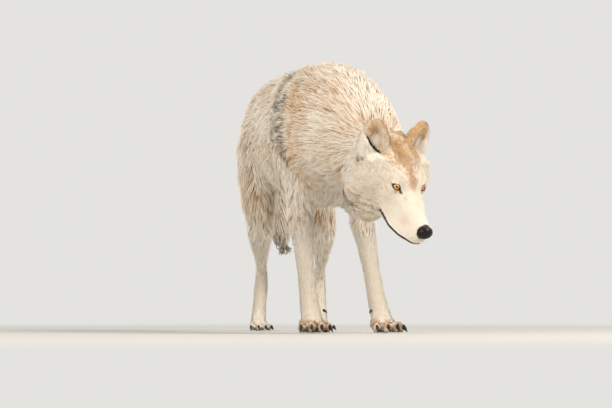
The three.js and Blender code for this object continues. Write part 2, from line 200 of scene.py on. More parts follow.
class Net:
    """A material's nodes. add() takes a node's type, its settings, and values or links for its sockets."""

    def __init__(self, name):
        self.material = bpy.data.materials.new(name)
        self.material.use_nodes = True
        self.nodes, self.links = self.material.node_tree.nodes, self.material.node_tree.links
        self.nodes.clear()

    def add(self, kind, settings=None, *inputs, out=0, **named):
        node = self.nodes.new(kind)
        for key, value in (settings or {}).items():
            setattr(node, key, value)
        for key, value in [*enumerate(inputs), *named.items()]:
            if isinstance(value, Value):
                self.links.new(value.socket, node.inputs[key])
            elif value is not None:
                node.inputs[key].default_value = value
        return Value(self, node.outputs[out])

    def mix(self, share, first, second):
        """Between two colours, by share."""
        node = self.nodes.new("ShaderNodeMix")
        node.data_type = "RGBA"
        for socket, value in zip((node.inputs[0], node.inputs[6], node.inputs[7]), (share, first, second)):
            if isinstance(value, Value):
                self.links.new(value.socket, socket)
            else:
                socket.default_value = value
        return Value(self, node.outputs[2])

    def place(self):
        return self.add("ShaderNodeTexCoord", out="Object")

    def carried(self, name, out="Fac"):
        """A number or colour that the mesh carries at each vertex."""
        return self.add("ShaderNodeAttribute", {"attribute_name": name}, out=out)

    def noise(self, scale, detail=3, roughness=0.5, where=None):
        spot = where if where is not None else self.place()
        grain = {"Scale": scale, "Detail": detail, "Roughness": roughness}
        return self.add("ShaderNodeTexNoise", {}, Vector=spot, **grain)

    def stretched(self, by):
        """Places scaled along the axes: a pattern laid on them is drawn out into strands."""
        return self.add("ShaderNodeVectorMath", {"operation": "MULTIPLY"}, self.place(), by)

    def bump(self, height, depth, strength):
        relief = {"Height": height, "Distance": depth, "Strength": strength}
        return self.add("ShaderNodeBump", {}, out="Normal", **relief)

    def surface(self, **sockets):
        """The finish itself: a Principled shader, with constants set on its own sockets."""
        named = {key.replace("_", " "): value for key, value in sockets.items()}
        shader = self.add("ShaderNodeBsdfPrincipled", {}, **named)
        self.finish(shader)
        return self.material

    def finish(self, shader):
        end = self.nodes.new("ShaderNodeOutputMaterial")
        self.links.new(shader.socket, end.inputs["Surface"])


print("shader maths is ready")

# %% [markdown]
# The wolf stands on a plain pale studio floor. Near the paws the floor takes their shadow. Farther out
# it fades into the backdrop's own colour, which lamps don't reach, so that no line shows where the
# floor ends.

# %% Floor
BACKDROP = rgb("e4e3e0")
FLOOR_NEAR, FLOOR_FAR = 1.3, 3.6
FLOOR_SIZE = 60


def lay_floor():
    bm = bmesh.new()
    bmesh.ops.create_grid(bm, x_segments=8, y_segments=8, size=FLOOR_SIZE / 2)
    mesh = bpy.data.meshes.new("studio_floor")
    bm.to_mesh(mesh)
    bm.free()
    floor = bpy.data.objects.new("studio_floor", mesh)
    bpy.context.scene.collection.objects.link(floor)
    net = Net("studio floor")
    away = net.add("ShaderNodeVectorMath", {"operation": "LENGTH"}, net.place(), out="Value")
    speckle = net.noise(60).step(0.3, 0.7) * 0.02
    paint = net.mix(speckle, rgb("c9c8c5"), rgb("b9b8b5"))
    near = net.add("ShaderNodeBsdfPrincipled", {}, **{"Base Color": paint, "Roughness": 0.7})
    far = net.add("ShaderNodeEmission", {}, Color=BACKDROP, Strength=1.0)
    net.finish(net.add("ShaderNodeMixShader", {}, away.step(FLOOR_NEAR, FLOOR_FAR), near, far))
    mesh.materials.append(net.material)
    floor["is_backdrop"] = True


lay_floor()
print("floor", FLOOR_SIZE, "m wide, fading out at", FLOOR_FAR, "m")

# %% [markdown]
# The pale surroundings light the wolf softly from all sides, while the camera and any wet surface see
# only the backdrop's plain colour. One large soft lamp stands high in front on the wolf's left and
# shapes the face, and a wider, weaker one opens the shadows on its right.

# %% Surroundings and lamps
SURROUND_LIGHT = 0.82


def surround():
    world = bpy.data.worlds.new("studio")
    bpy.context.scene.world = world
    world.use_nodes = True
    nodes, links = world.node_tree.nodes, world.node_tree.links
    nodes.clear()
    ray = nodes.new("ShaderNodeLightPath")
    seen = None
    for name in ("Is Camera Ray", "Is Glossy Ray", "Is Transmission Ray"):
        if seen is None:
            seen = ray.outputs[name]
            continue
        either = nodes.new("ShaderNodeMath")
        either.operation = "MAXIMUM"
        links.new(seen, either.inputs[0])
        links.new(ray.outputs[name], either.inputs[1])
        seen = either.outputs[0]
    lights, shows = nodes.new("ShaderNodeBackground"), nodes.new("ShaderNodeBackground")
    lights.inputs["Color"].default_value = rgb("fcf9f4")
    lights.inputs["Strength"].default_value = SURROUND_LIGHT
    shows.inputs["Color"].default_value = BACKDROP
    mixed, end = nodes.new("ShaderNodeMixShader"), nodes.new("ShaderNodeOutputWorld")
    links.new(seen, mixed.inputs[0])
    links.new(lights.outputs[0], mixed.inputs[1])
    links.new(shows.outputs[0], mixed.inputs[2])
    links.new(mixed.outputs[0], end.inputs["Surface"])


def lamp(name, at, toward, size, watts, colour):
    light = bpy.data.lights.new(name, "AREA")
    light.shape, light.size, light.energy, light.color = "DISK", size, watts, rgb(colour)[:3]
    stand = bpy.data.objects.new(name, light)
    stand.location = at
    stand.rotation_euler = (Vector(toward) - Vector(at)).to_track_quat("-Z", "Y").to_euler()
    bpy.context.scene.collection.objects.link(stand)


surround()
lamp("key", (2.6, -2.4, 3.4), (0, 0, 0.45), 1.6, 146, "fff6ec")
lamp("fill", (-3.4, -2.6, 1.8), (0, 0, 0.4), 3.0, 78, "fff4e6")
bpy.context.scene.view_settings.view_transform = "Standard"

# %% [markdown]
# Much of the work below is done on whole arrays of corners, because a coat has too many parts for
# loops. These helpers carry corners between a mesh and numpy, spread values along a mesh's edges,
# smooth a shape without shrinking it, and give the soft step with which forms and markings fade.

# %% Meshes as arrays


def corners(mesh):
    places = np.zeros(len(mesh.vertices) * 3)
    mesh.vertices.foreach_get("co", places)
    return places.reshape(-1, 3)


def edges_of(mesh):
    ends = np.zeros(len(mesh.edges) * 2, int)
    mesh.edges.foreach_get("vertices", ends)
    return ends.reshape(-1, 2)


def set_corners(mesh, places):
    mesh.vertices.foreach_set("co", np.ascontiguousarray(places).ravel())
    mesh.update()


def normals_of(mesh):
    out = np.zeros(len(mesh.vertices) * 3)
    mesh.vertex_normals.foreach_get("vector", out)
    return out.reshape(-1, 3)


def unit(vectors):
    return vectors / np.linalg.norm(vectors, axis=-1, keepdims=True).clip(1e-9)


def averaged(values, ends, share=0.5, rounds=1):
    """Each vertex's value moved part of the way to the mean of its neighbours', round after round."""
    flat = values.reshape(len(values), -1).astype(float)
    count = np.bincount(ends.ravel(), minlength=len(flat)).clip(1)[:, None]
    share = share if np.ndim(share) == 0 else share[:, None]
    for _ in range(rounds):
        total = np.empty_like(flat)
        for k in range(flat.shape[1]):
            column = flat[:, k]
            total[:, k] = np.bincount(ends[:, 0], column[ends[:, 1]], len(flat))
            total[:, k] += np.bincount(ends[:, 1], column[ends[:, 0]], len(flat))
        flat += share * (total / count - flat)
    return flat.reshape(values.shape)


def smoothed(places, ends, amount, rounds):
    """Facets and creases out, volume kept: every pull inward is followed by a push outward."""
    for _ in range(rounds):
        places = averaged(places, ends, 0.6 * amount)
        places = averaged(places, ends, -0.62 * amount)
    return places


def step(values, low, high):
    """0 below low, 1 above high, smooth between; low may be above high."""
    t = np.clip((values - low) / (high - low), 0, 1)
    return t * t * (3 - 2 * t)


print("a soft step is at", step(0.25, 0, 1), "when a quarter of the way")

# %% [markdown]
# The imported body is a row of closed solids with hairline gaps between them. A voxel remesh of a
# merged copy closes the gaps, and gives even quads that a coat can grow on. The eyeballs and the nose
# pad are in the copy too, so that the skin runs on under them.

# %% One body from the flesh
HARD = [n for n in NODES if "claw" in n or n.startswith("eye") or n == "nose"]
FLESH = [n for n in NODES if n not in HARD]
VOXEL = 8.3 * MM


def merged_copy(names, called):
    """The solids' own faces in one mesh, with doubled corners merged."""
    bm = bmesh.new()
    for name in names:
        bm.from_mesh(NODES[name].data)
    bmesh.ops.remove_doubles(bm, verts=bm.verts, dist=1e-6)
    mesh = bpy.data.meshes.new(called)
    bm.to_mesh(mesh)
    bm.free()
    piece = bpy.data.objects.new(called, mesh)
    bpy.context.scene.collection.objects.link(piece)
    return piece


def voxel_remesh(piece, size):
    """The piece's mesh made again as even quads of that size."""
    again = piece.modifiers.new("even", "REMESH")
    again.mode, again.voxel_size = "VOXEL", size
    even = bpy.data.meshes.new_from_object(piece.evaluated_get(bpy.context.evaluated_depsgraph_get()))
    piece.modifiers.remove(again)
    even.name = piece.data.name
    piece.data = even


skin = merged_copy(FLESH + [n for n in HARD if "claw" not in n], "skin")
voxel_remesh(skin, VOXEL)
print("the skin begins with", len(skin.data.polygons), "quads")

# %% [markdown]
# The remeshed body still shows the flat faces of the solids. They are smoothed away with a method
# that pushes back after each pull, which keeps the volume. Face, ears and toes are eased less than
# the rest, or they would lose their shapes.

# %% Facets smoothed away
FACE_BOX = ((-105, 105), (-160, 62), (-150, 70))  # the face, forward of the ears
EARS_BOX = ((-150, 150), (50, 165), (12, 130))
TOES_TOP = 48 * MM


def in_box(at, box):
    return np.all([(at[:, k] > box[k][0]) & (at[:, k] < box[k][1]) for k in range(3)], axis=0)


def ear_area(at):
    return in_box(at, EARS_BOX) & (np.abs(at[:, 0]) > 18)


places, ends = corners(skin.data), edges_of(skin.data)
local = in_head(places)
ease = np.where(in_box(local, FACE_BOX), 0.5, 1.0)
ease = np.where(places[:, 2] < 0.1, 0.45, ease)
ease = np.where((places[:, 2] < TOES_TOP) | ear_area(local), 0.2, ease)
places = smoothed(places, ends, ease, 30)
set_corners(skin.data, places)
print("facets smoothed on", len(places), "corners")

# %% [markdown]
# Lids and lips are a few millimetres across, finer than the body's quads. So the places that need
# more are named first: the face, the front of the muzzle, the eyes, the lips, the cupped ears and the
# gaps between the toes.

# %% Where finer quads are needed
LID_REACH = 18  # millimetres from an eyeball's centre within which the lids lie
MOUTH_LEVEL, MOUTH_CORNER = -85, -4  # the lips' height, and how far back they meet


def near_eyes(at, reach):
    side = np.where(at[:, 0] > 0, 1, -1)
    return np.linalg.norm(at - np.stack((side * EYE_X, 0 * side + 3.0, 0 * side), 1), axis=1) < reach


def face_area(points):
    return in_box(in_head(points), FACE_BOX)


def ears_and_toes(points):
    return ear_area(in_head(points)) | (points[:, 2] < TOES_TOP)


def front_area(points):
    at = in_head(points)
    return in_box(at, ((-54, 54), (-160, 0), (-112, -20))) | near_eyes(at, 27)


def lid_area(points):
    at = in_head(points)
    lips = (np.abs(at[:, 2] - MOUTH_LEVEL + 2) < 9) & (at[:, 1] < MOUTH_CORNER) & (np.abs(at[:, 0]) < 62)
    return near_eyes(at, LID_REACH) | (lips & (at[:, 1] > -150))


print(int(face_area(places).sum()), "corners lie on the face so far")

# %% [markdown]
# The face is divided once more, the front of the muzzle and the eyes twice, and the lids and lips
# three times. The ears and toes, which the remesh has blurred, are divided twice and drawn back onto
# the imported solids. Each time the new vertices are eased, so the finer mesh is also rounder.

# %% Finer quads on face, ears and toes


def divide_where(mesh, chosen, rounds, solids=None):
    """Quads in the chosen area cut in four, drawn back onto the solids if given, and eased."""
    bm = bmesh.new()
    bm.from_mesh(mesh)
    picked = set(np.flatnonzero(chosen(corners(mesh))))
    wanted = [e for e in bm.edges if e.verts[0].index in picked and e.verts[1].index in picked]
    bmesh.ops.subdivide_edges(bm, edges=wanted, cuts=1, use_grid_fill=True)
    bmesh.ops.triangulate(bm, faces=[f for f in bm.faces if len(f.verts) > 4])
    bm.to_mesh(mesh)
    bm.free()
    at, ends = corners(mesh), edges_of(mesh)
    here = chosen(at)
    if solids:
        nearest = np.array([solids.find_nearest(p)[0] for p in at[here].tolist()])
        at[here] += 0.9 * (nearest - at[here])
    set_corners(mesh, smoothed(at, ends, here * 0.8, rounds))


def solids_tree(names):
    """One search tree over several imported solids, and which of them each of its faces is from."""
    points, faces, owner = [], [], []
    for number, name in enumerate(names):
        mesh, start = NODES[name].data, sum(len(part) for part in points)
        points.append(corners(mesh))
        faces += [tuple(start + v for v in face.vertices) for face in mesh.polygons]
        owner += [number] * len(mesh.polygons)
    return BVHTree.FromPolygons(np.concatenate(points).tolist(), faces), owner


flesh_tree, flesh_owner = solids_tree(FLESH)
for rounds in (1, 3):
    divide_where(skin.data, ears_and_toes, rounds, flesh_tree)
for area, rounds in ((face_area, 4), (front_area, 4), (lid_area, 3)):
    divide_where(skin.data, area, rounds)
print("after dividing,", sum(len(f.vertices) - 2 for f in skin.data.polygons), "triangles")

# %% [markdown]
# An ear is a cup on a slanting root, and much is placed by it: its short hair, its fold, its dark slit.
# So each ear gets a frame of its own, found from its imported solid, with its across running outward,
# its up toward the tip, and its forward out of the cup.

# %% How an ear sits


def ear_axes(side):
    """The ear's root, its height, and its axes: outward across it, forward, and up to the tip."""
    ear = in_head(corners(NODES["ear_left" if side > 0 else "ear_right"].data))
    tip = ear[np.argmax(np.linalg.norm(ear - (side * 40, 90, -30), axis=1))]
    root = ear[ear[:, 2] < np.percentile(ear[:, 2], 35)].mean(0)
    up = unit(tip - root)
    rise = (ear - root) @ up
    upper = ear[rise > 0.3 * rise.max()]
    spread = upper - upper.mean(0)
    spread = spread - np.outer(spread @ up, up)
    across = np.linalg.svd(spread, full_matrices=False)[2][0]
    across = unit(across * (np.sign(across[0]) * side))
    return root, rise.max(), np.array((across, side * np.cross(across, up), up))


EARS = {side: ear_axes(side) for side in (-1, 1)}


def in_ear(local, side):
    """Places on the head as seen from an ear: across it from -1 to 1, and up it from 0 to 1."""
    root, height, axes = EARS[side]
    across, _, up = ((local - root) @ axes.T).T
    half = np.interp(up / height, (0, 0.5, 0.8, 1), (44, 41, 30, 12))  # half its width on the way up, in mm
    return across / half, up / height


print("the ears stand", [round(float(height)) for _, height, _ in EARS.values()], "mm high")

# %% [markdown]
# The winter coat lies about 4 mm deep on the lower legs, and is over 50 mm long on the neck. Each part
# of the body says how long its hair is and how deep it lies, and the values are spread over the skin
# until one part runs into the next. On the head they follow the place instead: velvet on the muzzle,
# longer over the brow, and a full ruff behind the cheeks.

# %% How long and how deep the coat is
HAIR = {  # length and depth, in millimetres
    "neck": (56, 27),
    "trunk": (48, 22),
    "tail": (66, 24),
    "foreleg_shoulder": (44, 17),
    "foreleg_forearm": (14, 4.5),
    "foreleg_paw": (8, 2.5),
    "hindleg_thigh": (42, 17),
    "hindleg_shank": (26, 9),
    "hindleg_hock": (12, 4),
    "hindleg_paw": (8, 2.5),
    "ear": (10, -2.5),  # the ears' thin rims lose as much in the remesh
}


def family(node):
    """The node's name without its side: both sides have the same hair."""
    return node.replace("_right", "").replace("_left", "")


def face_hair(at):
    """Length and depth of the hair on the head, at places in its frame."""
    x, y, z = np.abs(at[:, 0]), at[:, 1], at[:, 2]
    brow = 3 * step(y, -70, -10) + 8 * step(y, 0, 60) + 34 * step(y, 68, 125)
    cheek = 24 * step(y, 20, 90) * step(z, 25, -40) * step(x + 0.4 * np.abs(z), 45, 90)
    throat = 26 * step(y, -25, 60) * step(z, -80, -115)
    length = np.minimum(4 + brow + cheek + throat, 52)
    return length, 1.2 + 0.27 * (length - 4)


places, ends = corners(skin.data), edges_of(skin.data)
local = in_head(places)
part = np.array([flesh_owner[flesh_tree.find_nearest(p)[2]] for p in places.tolist()])
hair = np.array([HAIR.get(family(FLESH[number]), (0, 0)) for number in part], float)
on_face = np.isin(part, [FLESH.index("head"), FLESH.index("lower_jaw")])
face = np.stack(face_hair(local), 1)
hair[on_face] = face[on_face]
hair = averaged(hair, ends, 0.5, 60)
hair[on_face] = 0.6 * face[on_face] + 0.4 * hair[on_face]
hair = averaged(hair, ends, 0.5, 8)
for side, name in ((-1, "ear_right"), (1, "ear_left")):
    own = step(in_ear(local, side)[1], 0.1, 0.5) * (part == FLESH.index(name))
    hair += own[:, None] * (np.array(HAIR["ear"]) - hair)
hair = averaged(hair, ends, 0.5, 6)
hair_length, hair_depth = hair.T
print("hair from", hair_length.min().round(1), "to", hair_length.max().round(1), "mm long")

# %% [markdown]
# Every hair lies the way it grows: back from the nose over the head, outward round the neck, back and
# down over the flanks, down the legs, toward the claws on the paws, and along the tail. Each part
# gives its own heading, in the frame that suits it.

# %% Headings of the hair


def along_part(name):
    """The way from a limb part's top to its bottom."""
    at = corners(NODES[name].data)
    order = np.argsort(at[:, 2])
    few = max(len(at) // 5, 3)
    down = at[order[:few]].mean(0) - at[order[-few:]].mean(0)
    return down / np.linalg.norm(down)


def tail_heading(at):
    """Along the tail's own curve, which bends as it comes down."""
    curve = corners(NODES["tail"].data)
    slope = [np.polyder(np.polyfit(curve[:, 2], curve[:, k], 2)) for k in (0, 1)]
    return -np.stack([np.polyval(slope[0], at[:, 2]), np.polyval(slope[1], at[:, 2]), 1 + 0 * at[:, 2]], 1)


def head_heading(at):
    """Back from the nose in the head's own frame, turned to the model's."""
    x, y, z = at.T
    low = step(z, 10, -60) * step(y, -20, 60)
    way = np.stack([0.55 * x + 0.25 * np.sign(x) * 60 * low, y + 165, 0.6 * (z + 40) - 45 * low], 1)
    return unit(way) @ HEAD_TURN.T


def headings(at, local, part):
    way = np.zeros_like(at)
    face_middle = on_head((0, 70, -20))  # the hair runs outward from here
    round_face = unit(at - face_middle) + (0, 0.1, -0.3)
    back = np.stack([0 * at[:, 0], 1 + 0 * at[:, 0], -0.15 - 3.2 * np.abs(at[:, 0])], 1)
    for number in np.unique(part):
        here, kind = part == number, family(FLESH[number])
        if kind in ("head", "lower_jaw"):
            way[here] = head_heading(local[here])
        elif kind == "ear":
            way[here] = EARS[1 if "left" in FLESH[number] else -1][2][2] @ HEAD_TURN.T
        elif kind == "neck":
            way[here] = round_face[here]
        elif kind == "tail":
            way[here] = tail_heading(at[here])
        elif kind == "trunk":
            share = step(at[here, 1], -0.16, 0.14)[:, None]
            way[here] = unit(round_face[here]) * (1 - share) + unit(back[here]) * share
        elif kind.endswith("paw"):
            way[here] = (0, -0.9, -0.5)
        elif kind in ("foreleg_shoulder", "hindleg_thigh"):
            way[here] = unit(along_part(FLESH[number]) + (0, 0.45, 0))
        else:
            way[here] = along_part(FLESH[number])
    return unit(way)


print("the left shank's hair runs along", along_part("hindleg_left_shank").round(2))

# %% [markdown]
# Headings change with a jump from part to part. So they are pressed flat onto the skin and spread over
# it, again and again, until they flow into one another like a combed coat.

# %% Comb the coat


def laid(vectors, normals):
    """The vectors pressed flat onto the skin."""
    return unit(vectors - (vectors * normals).sum(1, keepdims=True) * normals)


normals = normals_of(skin.data)
wish = headings(places, local, part)
lie = laid(wish, normals)
for _ in range(14):
    lie = laid(averaged(lie, ends, 0.6, 3), normals)
print("the coat's lie is set at", len(lie), "places")

# %% [markdown]
# Long hair falls in tiers: behind the ruff there is a parting, where the next tier begins. The first
# tier's edge is a curve round the neck, and the partings lie at fixed distances behind it. On the paws
# the toes part midway between the claws.

# %% Tiers of the mane and gaps of the toes
COLLAR_Y, COLLAR_Z, COLLAR_BOW = -0.235, 0.55, 6.0  # where the mane's first tier ends, as a parabola
TIERS = ((0.03, 0.03, 7.0), (0.17, 0.035, 6.0))  # valleys: how far behind it, how wide, how many mm deep


def behind_collar(at):
    """How far a point lies behind the edge of the mane's first tier."""
    return at[:, 1] - COLLAR_Y - COLLAR_BOW * (at[:, 2] - COLLAR_Z) ** 2


def valleys(at, sizes):
    """The depth, in millimetres, of the parting behind each tier of long hair."""
    back = behind_collar(at)
    return sum(deep * np.exp(-(((back - middle_at) / wide) ** 2)) for middle_at, wide, deep in sizes)


def toe_gap(at, part):
    """1 in the gaps between a paw's toes, fading within a few millimetres."""
    out = np.zeros(len(at))
    for number in [n for n in range(len(FLESH)) if FLESH[n].endswith("paw")]:
        leg = FLESH[number][: -len("paw")]
        claws = np.array([middle(f"{leg}claw_{k}") for k in (1, 2, 3, 4)])
        across = unit((claws[3] - claws[0]) * (1, 1, 0))
        ahead = np.cross(across, (0, 0, 1)) * np.sign(np.cross(across, (0, 0, 1))[1]) * -1
        gaps = ((claws[:-1] + claws[1:]) / 2) @ across
        here = np.flatnonzero(part == number)
        aside = np.abs((at[here] @ across)[:, None] - gaps).min(1)
        claw_line = (claws @ ahead).mean()
        front = step(at[here] @ ahead, claw_line - 0.048, claw_line - 0.03)
        out[here] = np.exp(-((aside / 0.003) ** 2)) * front * step(at[here, 2], 0.044, 0.032)
    return out


gap = toe_gap(places, part)
print("toe gaps take up", int((gap > 0.5).sum()), "corners")

# %% [markdown]
# From ahead, the outer edge of an ear folds over its opening, and a deep slit runs down beside the
# fold to the ear's root. The fold is pushed out and the slit pushed in along the ear's forward axis.

# %% The ears' fold and slit


def ear_slit(height):
    """Where across the ear the slit beside its fold runs, at each height."""
    return -0.42 + 1.5 * height


def shape_ears(local, at, normals, part):
    """The fold of the ear's outer edge over its opening, and the deep slit beside it."""
    for side, name in ((-1, "ear_right"), (1, "ear_left")):
        across, height = in_ear(local, side)
        facing = step(normals @ EARS[side][2][1], -0.1, 0.5) * (part == FLESH.index(name))
        from_slit = across - ear_slit(height)
        span = step(height, -0.1, 0.08) * step(height, 0.78, 0.6)
        fold = 5.0 * np.exp(-(((from_slit - 0.3) / 0.24) ** 2))
        fold -= 6.0 * np.exp(-(((from_slit + 0.02) / 0.13) ** 2))
        at = at + EARS[side][2][1] * (fold * facing * span)[:, None]
    return at


print("halfway up, the slit lies", ear_slit(0.5), "of the ear's half width outward")

# %% [markdown]
# Each eye has its own axes: outward, along the slit toward its outer corner, and up. Skin inside the
# slit goes under the eyeball, and skin round it is drawn over the ball as a lid with a real edge.

# %% Eyelids
EYE_OUT, EYE_ALONG, EYE_UP = (0.38, -0.80, 0.46), (0.78, 0.547, 0.304), (-0.495, 0.243, 0.832)
SLIT_HALF, SLIT_UPPER, SLIT_LOWER = 13.0, 7.3, 6.0  # half the slit's length, and its height each way
LID_THICK, LID_DEEP = 1.5, 2.6


def eye_frame(side):
    axes = np.array((EYE_ALONG, EYE_UP, EYE_OUT)) * ((side, 1, 1))
    return np.array((side * EYE_X, 0.0, 0.0)), axes / np.linalg.norm(axes, axis=1)[:, None]


def slit_distance(along, up):
    """About how far a place lies outside the slit between the lids; negative inside."""
    half = np.where(up > 0, SLIT_UPPER, SLIT_LOWER)
    along = along + 0.16 * up
    edge = half * np.clip(1 - np.abs(along / SLIT_HALF) ** 2.2, 0, 1)
    past = np.maximum(np.abs(along) - SLIT_HALF, 0)
    inside = np.maximum(np.abs(up) - edge, -SLIT_HALF + np.abs(along))
    return np.where(past > 0, np.hypot(past, up), inside * 0.9)


def shape_lids(at):
    for side in (-1, 1):
        centre, axes = eye_frame(side)
        along, up, out = ((at - centre) @ axes.T).T
        flat = np.hypot(along, up)
        ball = EYE_RADIUS + LID_THICK
        rim = 0.86 * ball
        cover = np.sqrt(ball**2 - np.minimum(flat, rim) ** 2) - 0.55 * np.maximum(flat - rim, 0)
        away = slit_distance(along, up)
        lid = np.where(away < 0, cover - LID_THICK - LID_DEEP * step(-away, 0, 1.6), cover)
        hold = step(flat, 23, 13.5) * (out > -9)
        shift = (np.where(away < 0.0, lid, np.maximum(lid, out - 1.5)) - out) * hold
        at = at + shift[:, None] * axes[2]
    return at


print("the lids open", SLIT_UPPER + SLIT_LOWER, "by", 2 * SLIT_HALF, "mm")

# %% [markdown]
# A wolf's face is made of soft rises and dents: brow, tear pits, cheekbones, whisker pads and chin. Each
# is a place, a reach and a height, alike on both sides. The lips meet in a groove between two narrow
# swells, and the skin drops back under the nose pad.

# %% Nose, lips and brow
NOSE_SPAN, NOSE_CLEAR = (22, 17, 19.5), 8.0  # half the pad each way, and how deep the skin runs under it


def mouth_line(at):
    """Height above the line between the lips, which rises a little toward its corner."""
    y = at[:, 1]
    droop = 6.5 * step(y, -115, -85) * step(y, -25, -55) + 2.5 * step(y, -100, -128)
    return at[:, 2] - MOUTH_LEVEL + droop - 8 * step(y, -45, 0)


def swell(at, normals, spot, size, height):
    """A soft rise (or, below zero, a dent) on both sides of the face."""
    mirrored = np.stack([np.abs(at[:, 0]), at[:, 1], at[:, 2]], 1)
    away = (((mirrored - spot) / size) ** 2).sum(1)
    return at + normals * (height * np.exp(-away))[:, None]


def beyond_pad(at):
    """How far places are from the nose's middle, 1 at the surface of the pad."""
    return np.linalg.norm((at - in_head(middle("nose"))) / NOSE_SPAN, axis=1)


def shape_face(at, normals):
    swells = (
        ((23, 6, 17), (15, 11, 9), 4.2),  # brow over the eye's inner half
        ((44, 22, 22), (16, 12, 9), 3.2),  # brow over its outer half
        ((24, -20, -6), (8, 14, 9), -2.6),  # pit before the inner corner
        ((0, 2, 26), (7, 34, 14), -2.2),  # furrow down the forehead
        ((46, -8, -26), (14, 18, 11), 2.4),  # cheekbone under the eye
        ((27, -72, -46), (9, 30, 9), -1.8),  # hollow along the muzzle's side
        ((22, -108, -66), (11, 18, 11), 2.2),  # whisker pads
        ((14, -118, -96), (12, 10, 8), 1.6),  # chin
        ((16, -112, -34), (7, 14, 8), -1.4),  # behind the nose's wings
    )
    for spot, size, height in swells:
        at = swell(at, normals, spot, size, height)
    level = mouth_line(at)
    lips = step(at[:, 1], MOUTH_CORNER + 4, MOUTH_CORNER - 10) * (np.abs(at[:, 0]) < 66)
    groove = 3.2 * np.exp(-((level / 5) ** 2)) - 2.6 * np.exp(-(((level + 1.5) / 1.3) ** 2))
    fold = 1.4 * np.exp(-((at[:, 0] / 2.0) ** 2)) * step(at[:, 1], -108, -124) * step(level, 0, 6)
    at = at + normals * (groove * lips - fold * (level > 0))[:, None]
    return at + np.outer(NOSE_CLEAR * step(beyond_pad(at), 1.05, 0.8), (0, 1, 0))


print("the mouth runs back to", MOUTH_CORNER, "mm, and the pad is", 2 * NOSE_SPAN[0], "mm wide")

# %% [markdown]
# The skin now sinks by the coat's depth, so that the tips of the hair end on the body's outline. Where
# that would pinch a narrow fold, the fold is filled. Then the face gets the forms that show through
# its short hair.

# %% Sink the skin and shape the face
lip = on_face * step(np.abs(mouth_line(local) - 1), 9, 5)
lip = lip * step(local[:, 1], MOUTH_CORNER + 4, MOUTH_CORNER - 10)
sunk = places - normals * ((hair_depth * (1 - 0.8 * lip) + 2.5 * gap) * MM)[:, None]
filled = averaged(sunk, ends, 0.5, 30)
hollowed = ((filled - sunk) * normals).sum(1) * step(hair_depth, 6, 12)
sunk += normals * np.maximum(hollowed, 0)[:, None]
cape = np.isin(part, [n for n in range(len(FLESH)) if family(FLESH[n]) in ("neck", "trunk")])
sunk -= normals * (averaged(cape * valleys(places, TIERS), ends, 0.5, 4) * MM)[:, None]
set_corners(skin.data, sunk)
around = normals_of(skin.data) @ HEAD_TURN
shaped = shape_ears(local, in_head(sunk), around, part)
shaped = shape_lids(shape_face(shaped, around))
near_head = (on_face | (hair_length < 14)) & (np.linalg.norm(local, axis=1) < 230)
sunk = np.where(near_head[:, None], on_head(shaped), sunk)
set_corners(skin.data, sunk)
for face in skin.data.polygons:
    face.use_smooth = True
normals = normals_of(skin.data)
print("the skin lies inside the outline by up to", hair_depth.max().round(1), "mm")

# %% [markdown]
# Markings are shares between 0 and 1 that the skin carries at every vertex. On the head they are soft
# spots, each with a place, a reach and a strength. On the body they are loose patches, made of a few
# waves that cross at random.

# %% Spots and patches
TAN_SPOTS = (  # place and reach on the head, and how strong
    ((4, 60, 48), (40, 44, 34), 0.6),  # crown
    ((24, 96, 56), (50, 34, 34), 0.4),  # between and round the ears
    ((13, 56, 44), (10, 22, 22), 0.12),  # beside the furrow
    ((0, 22, 34), (11, 24, 24), 0.15),  # in the furrow
    ((0, 10, 28), (16, 40, 26), 0.25),  # forehead
    ((0, -12, 18), (12, 26, 20), 0.55),  # between the eyes
    ((27, -38, -9), (5, 9, 6), 0.6),  # below the tear pit
    ((0, -60, -14), (12, 30, 14), 0.3),  # bridge of the muzzle
)
GREY_SPOTS = (
    ((14, 55, 44), (9, 20, 20), 0.42),  # either side of the furrow
    ((0, 22, 34), (8, 22, 22), 0.3),  # in the furrow
    ((57, 4, -78), (10, 15, 11), 0.8),  # behind the corner of the mouth
)
BLUSH_SPOTS = (  # where pink skin shows through
    ((56, -8, -36), (9, 12, 9), 0.5),  # cheekbone
    ((32, -78, -50), (9, 16, 10), 0.4),  # side of the muzzle
    ((0, 0, 26), (11, 34, 24), 0.6),  # between the brows
)


def spots(at, size, seed):
    """Soft random patches between 0 and 1, about that many metres across: a few crossed waves."""
    draw = np.random.default_rng(seed)
    total = np.zeros(len(at))
    for _ in range(7):
        wave = unit(draw.normal(size=3)) * 2 * math.pi / (size * draw.uniform(0.7, 1.6))
        total += np.sin(at @ wave + draw.uniform(0, 2 * math.pi))
    return step(total, -3.2, 3.2)


def near(at, spot, size):
    """1 at a spot of the head and fading round it, alike on both sides."""
    mirrored = np.stack([np.abs(at[:, 0]), at[:, 1], at[:, 2]], 1)
    return np.exp(-(((mirrored - np.asarray(spot)) / np.asarray(size)) ** 2).sum(1))


def spotted(local, table):
    return sum(strength * near(local, spot, size) for spot, size, strength in table)


print(len(TAN_SPOTS), "tan spots on the head")
